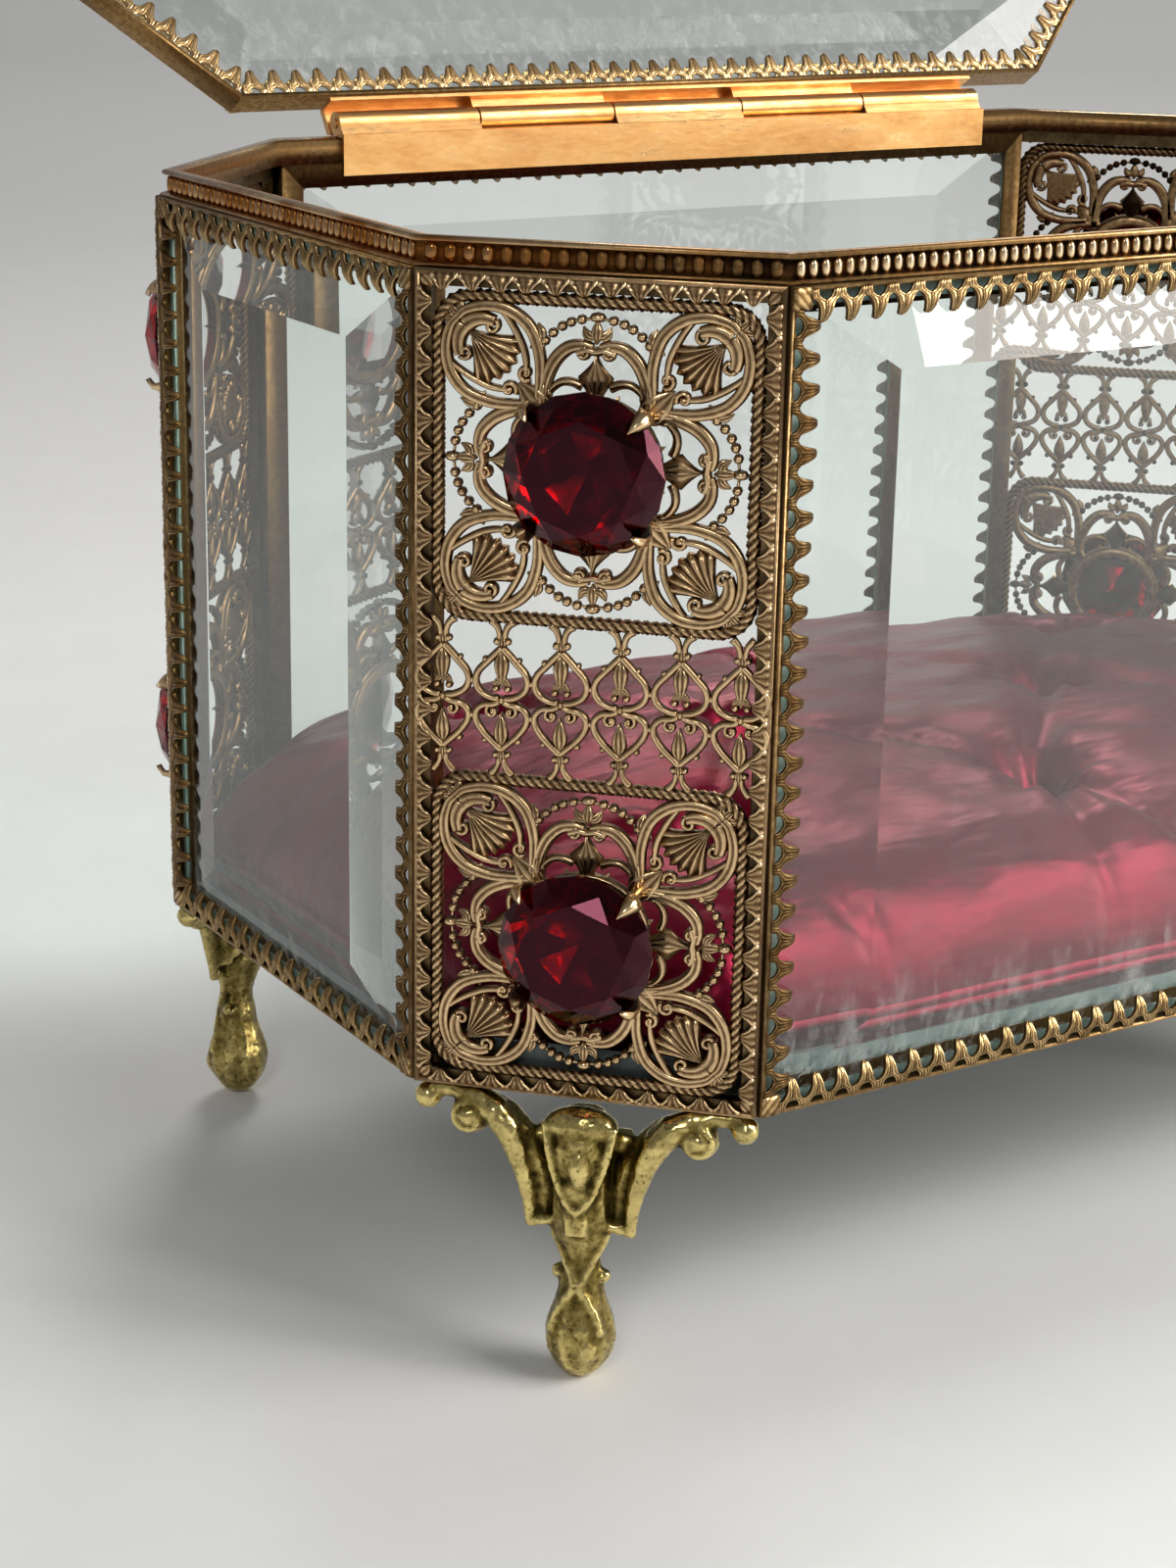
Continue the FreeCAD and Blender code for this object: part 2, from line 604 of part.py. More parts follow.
def cushion_shape():
    """Eight-sided outlines that follow a rounded section, less the tufts."""
    wall = "(dims.tray_wall + dims.cushion_clearance)"
    plan = octagon(f"(dims.frame_depth + {wall})", f"(dims.corner_depth + {wall})")
    plan = [(value(x), value(y)) for x, y in plan]
    half_length = max(x for x, y in plan)
    half_width = max(y for x, y in plan)
    rise = size("cushion_height")
    belly = size("cushion_belly")
    levels = [(0.0, size("cushion_tuck"))]
    for k in range(CUSHION_STEPS):
        lean = math.radians(90.0 * k / CUSHION_STEPS)
        levels.append((belly + (rise - belly) * math.sin(lean), half_width * (1 - math.cos(lean)) ** 1.2))
    levels.append((rise, half_width * 0.92))
    rings = []
    for height, draw in levels:
        across = 1 - draw / half_length
        deep = 1 - draw / half_width
        rings.append([Vector(x * across, y * deep, height) for x, y in plan])
    body = faceted(rings)
    spacing = size("tuft_spacing")
    row = size("tuft_row")
    places = [(k * spacing, side * row) for k in (-1, 0, 1) for side in (-1, 1)]
    places += [((k - 0.5) * spacing, 0.0) for k in (0, 1)]
    for x, y in places:
        plumb = Part.makeLine(Vector(x, y, 0), Vector(x, y, 2 * rise))
        top = body.common(plumb).BoundBox.ZMax
        foot = top - size("tuft_depth")
        mouth = top + size("tuft_depth")
        tuft = []
        for radius, height in ((TUFT_POINT, foot), (size("tuft_radius"), mouth)):
            steps = [2 * math.pi * k / TUFT_SIDES for k in range(TUFT_SIDES)]
            tuft.append([Vector(x + radius * math.cos(a), y + radius * math.sin(a), height) for a in steps])
        body = body.cut(faceted(tuft))
    return body.Solids[0]


cushion_floor = size("foot_height") + size("tray_floor")
shaped("cushion", cushion_shape(), Placement(Vector(0, 0, cushion_floor), Rotation()))

# Knuckle hinge along the back rim: sections are drawn forward of the axis and above it

axis_place = Placement(Vector(0, value(HINGE_Y), value(HINGE_Z)), Rotation(Vector(0, 0, 1), 180))
open_turn = Placement(Vector(), Rotation(Vector(1, 0, 0), size("lid_angle")))
lid_place = axis_place.multiply(open_turn)
knuckles = int(size("knuckle_count"))
KNUCKLE_PITCH = f"({HINGE_LENGTH} / dims.knuckle_count)"
KNUCKLE = f"({KNUCKLE_PITCH} - dims.knuckle_gap)"
BORE = "(dims.pin_radius + dims.pin_clearance)"
RINGS = ["dims.barrel_radius", BORE]


def knuckle_row(body, first, count, arm):
    """Every second knuckle of the hinge, each with the arm that joins it to its leaf."""
    start = f"({first} * {KNUCKLE_PITCH} - {HINGE_LENGTH} / 2 + dims.knuckle_gap / 2)"
    barrel = pad(discs(body, "barrel", "YZ_Plane", RINGS, start), KNUCKLE)
    joined = pad(outline(body, "arm", "YZ_Plane", [arm], start), KNUCKLE)
    pattern = body.newObject("PartDesign::LinearPattern", f"{body.Name}_knuckles")
    pattern.Originals = [barrel, joined]
    pattern.Direction = (origin_feature(body, "X_Axis"), [""])
    pattern.Occurrences = count
    pattern.setExpression("Length", f"{count - 1} * 2 * {KNUCKLE_PITCH}")
    body.Tip = pattern


leaf_body = piece("casket_hinge_leaf", axis_place)
LEAF_FRONT = f"({LEAF_BACK} + dims.leaf_thickness)"
LEAF_FOOT = f"-({AXIS_LIFT} + dims.rim_height + dims.leaf_drop)"
TAB_EDGE = "(dims.barrel_radius - dims.barrel_clearance)"
casket_leaf = ((LEAF_BACK, LEAF_FOOT), (LEAF_FRONT, LEAF_FOOT), (LEAF_FRONT, TAB_TOP),
               (TAB_EDGE, TAB_TOP), (TAB_EDGE, f"-{AXIS_LIFT}"), (LEAF_BACK, f"-{AXIS_LIFT}"))
pad(outline(leaf_body, "leaf", "YZ_Plane", [casket_leaf]), HINGE_LENGTH, both=True)
ARM_ROOT = "(dims.pin_radius + 2 * dims.pin_clearance)"
casket_arm = ((ARM_ROOT, f"-{AXIS_LIFT}"), (LEAF_BACK, f"-{AXIS_LIFT}"), (LEAF_BACK, TAB_TOP),
              (TAB_EDGE, "0"), (ARM_ROOT, "0"))
knuckle_row(leaf_body, 0, (knuckles + 1) // 2, casket_arm)

pin = piece("hinge_pin", axis_place)
pad(discs(pin, "section", "YZ_Plane", ["dims.pin_radius"]), HINGE_LENGTH, both=True)

# Lid: bevelled glass in a clawed frame, with the hinge leaf and its stop along the back

LID_BACK = f"({HINGE_Y} - dims.lid_setback + dims.lid_inset)"
LID_UNDER = f"(dims.lid_gap - {AXIS_LIFT})"
LID_TOP = f"({LID_UNDER} + dims.frame_depth)"
closed_lid = Placement(Vector(0, -value(HINGE_Y), value(LID_UNDER)), Rotation())
lid_from_axis = Placement(Vector(), Rotation(Vector(0, 0, 1), 180))
plan_place = lid_place.multiply(lid_from_axis).multiply(closed_lid)


def lid_plan(inset):
    """Outline of the lid, drawn in by an inset."""
    return octagon(f"(dims.lid_inset + {inset})", back=LID_BACK)


lid_glass = piece("lid_glass", plan_place)
lid_blank = outline(lid_glass, "blank", "XY_Plane", [lid_plan(GLASS_INSET)], "dims.strip_thickness")
lid_slab = pad(lid_blank, "dims.glass_thickness")
doc.recompute()
upper = max(range(len(lid_slab.Shape.Faces)), key=lambda k: lid_slab.Shape.Faces[k].CenterOfMass.z)
lid_bevel = lid_glass.newObject("PartDesign::Chamfer", "lid_bevel")
lid_bevel.Base = (lid_slab, [f"Face{upper + 1}"])
lid_bevel.ChamferType = "Two distances"
lid_bevel.setExpression("Size", "dims.glass_thickness - dims.glass_edge")
lid_bevel.setExpression("Size2", "dims.lid_bevel")

lid_frame = piece("lid_frame", plan_place)
lid_outer = lid_plan("0")
pad(outline(lid_frame, "web", "XY_Plane", [lid_outer, lid_plan("dims.strip_thickness")]), "dims.frame_depth")
pad(outline(lid_frame, "lip", "XY_Plane", [lid_outer, lid_plan("dims.back_flange")]), "dims.strip_thickness")
clawed_flange(lid_frame, "XY_Plane", lid_outer, lid_plan("dims.flange_width"),
              "dims.frame_depth - dims.strip_thickness")

lid_leaf = piece("lid_hinge_leaf", lid_place)
OPEN_COS = "cos(dims.lid_angle * 1 deg)"
OPEN_SIN = "sin(dims.lid_angle * 1 deg)"
STOP_DROP = f"({AXIS_LIFT} - dims.stop_gap)"
STOP_Y = f"(-dims.stop_land * {OPEN_COS} - {STOP_DROP} * {OPEN_SIN})"
STOP_Z = f"(dims.stop_land * {OPEN_SIN} - {STOP_DROP} * {OPEN_COS})"
STOP_TOP_Y = f"({STOP_Y} - ({LID_TOP} - {STOP_Z}) * {OPEN_COS} / {OPEN_SIN})"
BAR_BACK = "(dims.lid_setback - dims.leaf_thickness)"
BAR_UNDER = f"({TAB_TOP} + dims.lid_gap)"
lid_bar = (("dims.lid_setback", BAR_UNDER), ("dims.lid_setback", LID_TOP), (STOP_TOP_Y, LID_TOP),
           (STOP_Y, STOP_Z), (BAR_BACK, STOP_Z), (BAR_BACK, BAR_UNDER))
pad(outline(lid_leaf, "bar", "YZ_Plane", [lid_bar]), HINGE_LENGTH, both=True)
lid_arm = ((ARM_ROOT, "0"), (BAR_BACK, "0"), (BAR_BACK, STOP_Z), (ARM_ROOT, STOP_Z))
knuckle_row(lid_leaf, 1, knuckles // 2, lid_arm)

# Check every object, then write one file for each piece

doc.recompute()
for item in doc.Objects:
    if "Invalid" in item.State or "Error" in item.State:
        raise RuntimeError(f"{item.Label} did not build")
os.makedirs("parts", exist_ok=True)
for item in pieces:
    if item.Shape.isNull() or not item.Shape.isValid() or len(item.Shape.Solids) != 1:
        raise RuntimeError(f"{item.Label} is not one valid solid")
    item.Shape.exportStep(f"parts/{item.Label}.step")
print(f"{len(pieces)} pieces written")
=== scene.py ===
"""Bridal casket: the looks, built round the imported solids.

Lengths in the making of ornament are millimetres and become metres in its mesh.
"""

import cmath
import math
import random

import bmesh
import bpy
import numpy as np
from mathutils import Matrix, Vector, noise
from mathutils.bvhtree import BVHTree


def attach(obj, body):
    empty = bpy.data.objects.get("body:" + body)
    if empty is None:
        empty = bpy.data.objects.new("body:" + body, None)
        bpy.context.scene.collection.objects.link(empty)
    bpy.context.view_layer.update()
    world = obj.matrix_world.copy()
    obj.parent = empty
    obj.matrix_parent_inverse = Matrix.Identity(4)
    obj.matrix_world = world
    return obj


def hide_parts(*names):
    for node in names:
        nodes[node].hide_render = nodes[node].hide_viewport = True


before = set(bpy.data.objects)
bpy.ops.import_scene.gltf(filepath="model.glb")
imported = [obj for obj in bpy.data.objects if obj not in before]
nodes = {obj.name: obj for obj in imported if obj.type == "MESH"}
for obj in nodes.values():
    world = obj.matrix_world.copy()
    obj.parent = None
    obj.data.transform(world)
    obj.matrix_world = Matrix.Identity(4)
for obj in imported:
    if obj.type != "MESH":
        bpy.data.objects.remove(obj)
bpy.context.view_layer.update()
scene = bpy.context.scene
scene.view_settings.view_transform = "Standard"

MM = 0.001

# Sizes of the casket that the ornament follows
LENGTH = 172.0
WIDTH = 114.6
CORNER_WIDTH = 37.8
CORNER_FACE = 36.9
PANEL_HEIGHT = 86.0
FOOT_HEIGHT = 32.7
FRAME_DEPTH = 4.0
STRIP = 0.5
BACK_FLANGE = 3.0
ROSETTE = 33.4
LATTICE_PITCH = 6.15
LATTICE_COLUMNS = 6
STONE_RADIUS = 8.1
STONE_STANDOFF = 4.8
RIM_HEIGHT = 3.0
TRAY_FLOOR = 1.0
CUSHION_FOOT = FOOT_HEIGHT + TRAY_FLOOR
ROSETTE_MARGIN = 1.75
LEG = CORNER_WIDTH / math.sqrt(2)
LONG_PANEL = LENGTH - 2 * LEG
SHORT_PANEL = WIDTH - 2 * LEG
PANEL_MIDDLE = FOOT_HEIGHT + PANEL_HEIGHT / 2
WALLS = ("front", "front_right", "right", "back_right", "back", "back_left", "left", "front_left")
SIDES = WALLS[0::2]
CORNERS = WALLS[1::2]
BACK = WALLS.index("back")
ROSETTE_RISE = PANEL_HEIGHT / 2 - ROSETTE_MARGIN - ROSETTE / 2
LEVELS = {"lower": PANEL_MIDDLE - ROSETTE_RISE, "upper": PANEL_MIDDLE + ROSETTE_RISE}

# The hinge and the lid, in metres and degrees
HINGE_Y = 0.0551
HINGE_Z = 0.1233
LID_DROP = 0.0014
LID_ANGLE = -123.5

# Seeds of the uneven claws and pegs
STRIP_SEED = 11
LID_STRIP_SEED = 23
LINING_SEED = 31
BORDER_SEED = 71
RIM_SEED = 5


def wall_matrix(wall, height):
    """Place of a wall's own frame: X across, Z up, -Y outward."""
    turn = math.radians(45 * WALLS.index(wall))
    cant = LEG / 2 if wall in CORNERS else 0
    middle = Vector((round(math.sin(turn)) * (LENGTH / 2 - cant),
                     -round(math.cos(turn)) * (WIDTH / 2 - cant), height))
    return Matrix.Translation(middle * MM) @ Matrix.Rotation(turn, 4, "Z")


def octagon(insets):
    """Corners of the casket's plan drawn in by an inset for each wall, anticlockwise."""
    cant = (LENGTH / 2 + WIDTH / 2 - LEG) / math.sqrt(2)
    reaches = [(WIDTH / 2, cant, LENGTH / 2, cant)[k % 4] - inset for k, inset in enumerate(insets)]
    corners = []
    for k in range(8):
        along = (reaches[(k + 1) % 8] - reaches[k] * math.cos(math.pi / 4)) / math.sin(math.pi / 4)
        corners.append(cmath.exp(0.25j * math.pi * (k - 2)) * complex(reaches[k], along))
    return corners


# Materials

def new_material(name):
    """New node material, its tree and its shader."""
    material = bpy.data.materials.new(name)
    material.use_nodes = True
    tree = material.node_tree
    return material, tree, tree.nodes["Principled BSDF"]


def set_inputs(made, settings):
    """Constants on the sockets of a node."""
    for key, setting in settings.items():
        made.inputs[key].default_value = setting


def grey(level):
    """Colour with three like parts."""
    return (level,) * 3


def node(tree, kind, **settings):
    """Node of a kind with its settings and inputs."""
    made = tree.nodes.new(kind)
    for key, setting in settings.items():
        if key in made.inputs:
            made.inputs[key].default_value = setting
        else:
            setattr(made, key, setting)
    return made


def ramp(tree, source, stops):
    """Colour ramp through (position, colour) stops."""
    made = tree.nodes.new("ShaderNodeValToRGB")
    items = made.color_ramp.elements
    for place, (position, colour) in enumerate(stops):
        item = items[place] if place < 2 else items.new(position)
        item.position = position
        item.color = (*colour, 1.0)
    tree.links.new(source, made.inputs["Fac"])
    return made.outputs["Color"]


def object_noise(tree, scale, detail=4.0, roughness=0.6, stretch=(1, 1, 1)):
    """Noise in the piece's own coordinates, in features per metre, shifted from piece to piece."""
    place = node(tree, "ShaderNodeTexCoord")
    piece = node(tree, "ShaderNodeObjectInfo")
    mapping = node(tree, "ShaderNodeMapping")
    mapping.inputs["Scale"].default_value = stretch
    tree.links.new(place.outputs["Object"], mapping.inputs["Vector"])
    tree.links.new(piece.outputs["Random"], mapping.inputs["Location"])
    made = node(tree, "ShaderNodeTexNoise", Scale=scale, Detail=detail, Roughness=roughness)
    tree.links.new(mapping.outputs["Vector"], made.inputs["Vector"])
    return made.outputs["Fac"]


def mixed(tree, kind, first, second, factor):
    """Two colours mixed by a factor, which may be a number or a socket."""
    made = node(tree, "ShaderNodeMix", data_type="RGBA", blend_type=kind)
    for socket, wanted in zip((made.inputs[6], made.inputs[7], made.inputs[0]), (first, second, factor)):
        if isinstance(wanted, bpy.types.NodeSocket):
            tree.links.new(wanted, socket)
        elif isinstance(wanted, tuple):
            socket.default_value = (*wanted, 1.0)
        else:
            socket.default_value = wanted
    return made.outputs[2]


def arithmetic(tree, operation, first, second):
    """Two numbers or sockets put together."""
    made = node(tree, "ShaderNodeMath", operation=operation)
    for socket, wanted in zip(made.inputs, (first, second)):
        if isinstance(wanted, bpy.types.NodeSocket):
            tree.links.new(wanted, socket)
        else:
            socket.default_value = wanted
    return made.outputs[0]


def add_bump(tree, shader, height, distance, strength=1.0):
    """Bump from a height."""
    made = node(tree, "ShaderNodeBump", Strength=strength, Distance=distance)
    tree.links.new(height, made.inputs["Height"])
    tree.links.new(made.outputs["Normal"], shader.inputs["Normal"])


def aged_metal(name, dark, middle, bright, tarnish, grain=1.0, polish=0.24, relief=True, spots=0.5,
               stretch=(1, 1, 1), pitted=0.0, patina=False):
    """Old gilt or cast metal: patina in the hollows, rubbed crests, stains and fine pits."""
    material, tree, shader = new_material(name)
    blotch = object_noise(tree, 170.0 * grain, 5.0, 0.6, stretch)
    fine = object_noise(tree, 1500.0 * grain, 3.0, 0.6, stretch)
    if relief:
        source = node(tree, "ShaderNodeAttribute", attribute_name="relief").outputs["Fac"]
    else:
        source = object_noise(tree, 420.0 * grain, 4.0, 0.6, stretch)
    unsteady = arithmetic(tree, "MULTIPLY_ADD", fine, 0.5)
    unsteady.node.inputs[2].default_value = -0.25
    level = arithmetic(tree, "ADD", source, unsteady)
    colour = ramp(tree, level, ((0.08, dark), (0.45, middle), (0.95, bright)))
    stain = ramp(tree, blotch, ((0.46, (0, 0, 0)), (0.68, (1, 1, 1))))
    amount = arithmetic(tree, "MULTIPLY", stain, spots)
    if patina:
        age = node(tree, "ShaderNodeAttribute", attribute_name="patina").outputs["Fac"]
        uneven = ramp(tree, blotch, ((0.30, grey(0.4)), (0.60, grey(1.0))))
        amount = arithmetic(tree, "MAXIMUM", amount, arithmetic(tree, "MULTIPLY", age, uneven))
    colour = mixed(tree, "MIX", colour, tarnish, amount)
    if pitted:
        pit = ramp(tree, fine, ((0.30, grey(pitted)), (0.42, grey(0.0))))
        colour = mixed(tree, "MIX", colour, dark, pit)
    tree.links.new(colour, shader.inputs["Base Color"])
    gloss = node(tree, "ShaderNodeMapRange")
    set_inputs(gloss, {"From Min": 0.1, "From Max": 0.85, "To Min": 0.55, "To Max": polish})
    tree.links.new(level, gloss.inputs["Value"])
    tree.links.new(gloss.outputs["Result"], shader.inputs["Roughness"])
    shader.inputs["Metallic"].default_value = 1.0
    add_bump(tree, shader, fine, 0.00005, 0.45)
    return material


FILIGREE = aged_metal("filigree_brass", (0.024, 0.014, 0.007), (0.27, 0.160, 0.075), (0.86, 0.62, 0.35),
                      (0.13, 0.070, 0.030), spots=0.42, polish=0.20)
STRIP_GILT = aged_metal("gilt_strip", (0.026, 0.015, 0.007), (0.27, 0.160, 0.062), (0.82, 0.58, 0.29),
                        (0.12, 0.055, 0.016), spots=0.70, polish=0.22)
RIM_GILT = aged_metal("rim_gilt", (0.020, 0.010, 0.005), (0.40, 0.235, 0.092), (0.98, 0.77, 0.48),
                      (0.30, 0.115, 0.024), spots=0.35, polish=0.16, patina=True)
CAST = aged_metal("cast_brass", (0.034, 0.024, 0.006), (0.27, 0.200, 0.055), (0.86, 0.69, 0.27),
                  (0.110, 0.078, 0.020), grain=1.3, polish=0.16, spots=0.50, pitted=0.80)
HINGE_GILT = aged_metal("hinge_gilt", (0.56, 0.270, 0.095), (0.82, 0.45, 0.165), (0.99, 0.66, 0.33),
                        (0.60, 0.250, 0.090), relief=False, spots=0.40, polish=0.18, stretch=(0.35, 1, 1))
# Lighter, less stained copy of the strip gilt for the lid; its extra brightness is painted light, where the
# lid's frame catches the light
LID_GILT_PAINTED_LIGHT = aged_metal("lid_gilt_painted_light", (0.030, 0.016, 0.007), (0.46, 0.275, 0.105), (0.97, 0.74, 0.42),
                      (0.24, 0.110, 0.030), spots=0.40, polish=0.18)
# Darkened brass for the corner frames behind the filigree: painted shade, so that the openings of the
# filigree look dark
SHADED_STRIP = aged_metal("strip_inside_painted_shade", (0.030, 0.020, 0.010), (0.110, 0.072, 0.034), (0.28, 0.190, 0.090),
                        (0.05, 0.034, 0.018), relief=False, spots=0.6)


def zinc_material():
    """Dull blue-grey sheet with stains."""
    material, tree, shader = new_material("tray_zinc")
    cloud = object_noise(tree, 90.0, 6.0)
    fine = object_noise(tree, 900.0, 4.0)
    colour = ramp(tree, cloud, ((0.3, (0.055, 0.075, 0.075)), (0.55, (0.13, 0.165, 0.165)),
                                (0.8, (0.24, 0.28, 0.27))))
    tree.links.new(colour, shader.inputs["Base Color"])
    shader.inputs["Metallic"].default_value = 0.75
    tree.links.new(ramp(tree, fine, ((0.3, grey(0.45)), (0.7, grey(0.7)))), shader.inputs["Roughness"])
    add_bump(tree, shader, fine, 0.0001, 0.5)
    return material


def glass_material():
    """Old bevelled glass: faintly green, a little dusty, with a streaked film at its foot."""
    material, tree, shader = new_material("bevelled_glass")
    set_inputs(shader, {"Base Color": (0.93, 0.985, 0.965, 1.0), "IOR": 1.5, "Transmission Weight": 1.0})
    dust = object_noise(tree, 120.0, 2.0)
    tree.links.new(ramp(tree, dust, ((0.45, grey(0.0)), (0.85, grey(0.02)))), shader.inputs["Roughness"])
    clear = node(tree, "ShaderNodeBsdfTransparent")
    clear.inputs["Color"].default_value = (0.90, 0.95, 0.93, 1.0)
    path = node(tree, "ShaderNodeLightPath")
    blend = node(tree, "ShaderNodeMixShader")
    deep = arithmetic(tree, "GREATER_THAN", path.outputs["Ray Depth"], 3.5)
    tree.links.new(arithmetic(tree, "MAXIMUM", path.outputs["Is Shadow Ray"], deep), blend.inputs[0])
    tree.links.new(shader.outputs[0], blend.inputs[1])
    tree.links.new(clear.outputs[0], blend.inputs[2])
    rise = node(tree, "ShaderNodeSeparateXYZ")
    tree.links.new(node(tree, "ShaderNodeTexCoord").outputs["Generated"], rise.inputs[0])
    low = ramp(tree, rise.outputs["Z"], ((0.02, grey(1.0)), (0.16, grey(0.06))))
    streaks = object_noise(tree, 420.0, 8.0, 0.75, (1.0, 1.0, 0.35))
    film = ramp(tree, streaks, ((0.50, grey(0.0)), (0.74, grey(0.45))))
    white = node(tree, "ShaderNodeBsdfDiffuse", Color=(0.80, 0.80, 0.78, 1.0))
    dusty = node(tree, "ShaderNodeMixShader")
    tree.links.new(arithmetic(tree, "MULTIPLY", low, film), dusty.inputs[0])
    tree.links.new(blend.outputs[0], dusty.inputs[1])
    tree.links.new(white.outputs[0], dusty.inputs[2])
    tree.links.new(dusty.outputs[0], tree.nodes["Material Output"].inputs["Surface"])
    return material


def ruby_materials():
    """Ruby glass, and the foil that lines the back of the stone; the foil runs from near black to bright
    red towards its lower left, a painted red flash.
    """
    glass, tree, shader = new_material("ruby_glass")
    set_inputs(shader, {"Base Color": (0.66, 0.002, 0.016, 1.0), "IOR": 1.56, "Specular IOR Level": 0.24,
                        "Specular Tint": (0.80, 0.24, 0.34, 1.0), "Transmission Weight": 1.0})
    flaw = object_noise(tree, 500.0, 3.0)
    tree.links.new(ramp(tree, flaw, ((0.4, grey(0.005)), (0.8, grey(0.03)))), shader.inputs["Roughness"])
    foil, tree, shader = new_material("ruby_foil_painted_flash")
    place = node(tree, "ShaderNodeSeparateXYZ")
    tree.links.new(node(tree, "ShaderNodeTexCoord").outputs["Object"], place.inputs[0])
    # Painted highlight: the foil brightens to red towards its lower left, where the stone's flashes are
    # painted in
    lean = arithmetic(tree, "ADD", place.outputs["X"], place.outputs["Z"])
    lean = arithmetic(tree, "MULTIPLY_ADD", lean, -22.0)
    tree.links.new(object_noise(tree, 330.0, 2.0), lean.node.inputs[2])
    tree.links.new(ramp(tree, lean, ((0.42, (0.014, 0.0001, 0.001)), (0.60, (0.11, 0.0006, 0.004)),
                                     (0.74, (0.98, 0.016, 0.034)))), shader.inputs["Base Color"])
    set_inputs(shader, {"Metallic": 1.0, "Roughness": 0.10})
    return glass, foil


def satin_material():
    """Burgundy satin: a coloured gloss, faint floats across the weave and small soft folds."""
    material, tree, shader = new_material("burgundy_satin")
    cloud = object_noise(tree, 38.0, 4.0)
    floats = object_noise(tree, 4200.0, 2.0, 0.5, (0.12, 1.0, 1.0))
    crease = object_noise(tree, 95.0, 3.0, 0.5, (0.5, 1.3, 1.0))
    colour = ramp(tree, cloud, ((0.3, (0.125, 0.0012, 0.012)), (0.7, (0.215, 0.0030, 0.024))))
    thread = ramp(tree, floats, ((0.25, grey(0.93)), (0.75, grey(1.0))))
    tree.links.new(mixed(tree, "MULTIPLY", colour, thread, 1.0), shader.inputs["Base Color"])
    tree.links.new(ramp(tree, floats, ((0.2, grey(0.33)), (0.8, grey(0.36)))), shader.inputs["Roughness"])
    set_inputs(shader, {"Metallic": 0.66, "Specular IOR Level": 0.25})
    height = arithmetic(tree, "MULTIPLY_ADD", floats, 0.006)
    tree.links.new(crease, height.node.inputs[2])
    add_bump(tree, shader, height, 0.0016, 0.7)
    return material


def ground_edge_material():
    """Ground edge of the glass: cloudy sea green."""
    material, tree, shader = new_material("ground_glass_edge")
    cloud = object_noise(tree, 700.0, 5.0)
    colour = ramp(tree, cloud, ((0.3, (0.26, 0.43, 0.37)), (0.7, (0.52, 0.70, 0.62))))
    tree.links.new(colour, shader.inputs["Base Color"])
    set_inputs(shader, {"Roughness": 0.35, "Transmission Weight": 0.45})
    return material


ZINC = zinc_material()
GROUND_EDGE = ground_edge_material()
GLASS = glass_material()
RUBY, RUBY_FOIL = ruby_materials()
SATIN = satin_material()


# Ornament in relief: closed forms with a relief value at each point, which the metals read

PLATE_BACK = 0.45


def set_relief(mesh, values):
    """Relief value at each point of a mesh."""
    made = mesh.attributes.new("relief", "FLOAT", "POINT")
    made.data.foreach_set("value", np.array(values, np.float32))


def turn_faces_out(mesh):
    """Faces of a closed mesh all turned outward."""
    work = bmesh.new()
    work.from_mesh(mesh)
    bmesh.ops.recalc_face_normals(work, faces=work.faces)
    work.to_mesh(mesh)
    work.free()


def applied(holder):
    """Mesh of an object with its modifiers applied."""
    return bpy.data.meshes.new_from_object(holder.evaluated_get(bpy.context.evaluated_depsgraph_get()))


class Ornament:
    """Mesh in the making, in a wall's own frame: across, up and out, in millimetres."""

    def __init__(self):
        self.points = []
        self.faces = []
        self.relief = []

    def add(self, points, faces, relief):
        """Add a form whose faces count its own points from 0."""
        first = len(self.points)
        self.points += points
        self.relief += relief
        self.faces += [tuple(first + k for k in face) for face in faces]

    def mesh(self, name, material):
        """Finished mesh, in metres."""
        made = bpy.data.meshes.new(name)
        spots = [(across * MM, -out * MM, up * MM) for across, up, out in self.points]
        made.from_pydata(spots, [], self.faces)
        set_relief(made, self.relief)
        turn_faces_out(made)
        made.shade_smooth()
        made.materials.append(material)
        return made


def ring_faces(near, far, sides):
    """Faces between two rings, from the first point of each."""
    return [(near + j, near + (j + 1) % sides, far + (j + 1) % sides, far + j) for j in range(sides)]


def row_faces(count, sides, closed=False):
    """Faces along a row of rings, which closes on itself or has a face at each end."""
    faces = []
    for k in range(count if closed else count - 1):
        faces += ring_faces(k * sides, (k + 1) % count * sides, sides)
    if not closed:
        faces.append(tuple(range(sides)))
        faces.append(tuple(range((count - 1) * sides, count * sides)))
    return faces


def dome_faces(sides, rings):
    """Faces of a dome: its top point, its rings and the face below."""
    faces = [(0, 1 + j, 1 + (j + 1) % sides) for j in range(sides)]
    for k in range(rings - 1):
        faces += ring_faces(1 + k * sides, 1 + (k + 1) * sides, sides)
    faces.append(tuple(range(1 + (rings - 1) * sides, 1 + rings * sides)))
    return faces


def place_piece(name, mesh, matrix, body, replaced=()):
    """Piece of the scene that rides on a body and stands for CAD nodes."""
    made = bpy.data.objects.new(name, mesh)
    scene.collection.objects.link(made)
    made.matrix_world = matrix
    bpy.context.view_layer.update()
    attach(made, body)
    if replaced:
        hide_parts(*replaced)
    return made


def smooth_line(points, steps):
    """Points on a smooth line through control points, as complex numbers."""
    count = len(points)
    line = []
    for k in range(count - 1):
        b, c = points[k], points[k + 1]
        a = points[k - 1] if k else 2 * b - c
        d = points[k + 2] if k + 2 < count else 2 * c - b
        for step in range(steps):
            t = step / steps
            line.append(0.5 * (2 * b + (c - a) * t + (2 * a - 5 * b + 4 * c - d) * t ** 2
                               + (3 * b - a - 3 * c + d) * t ** 3))
    line.append(points[-1])
    return line


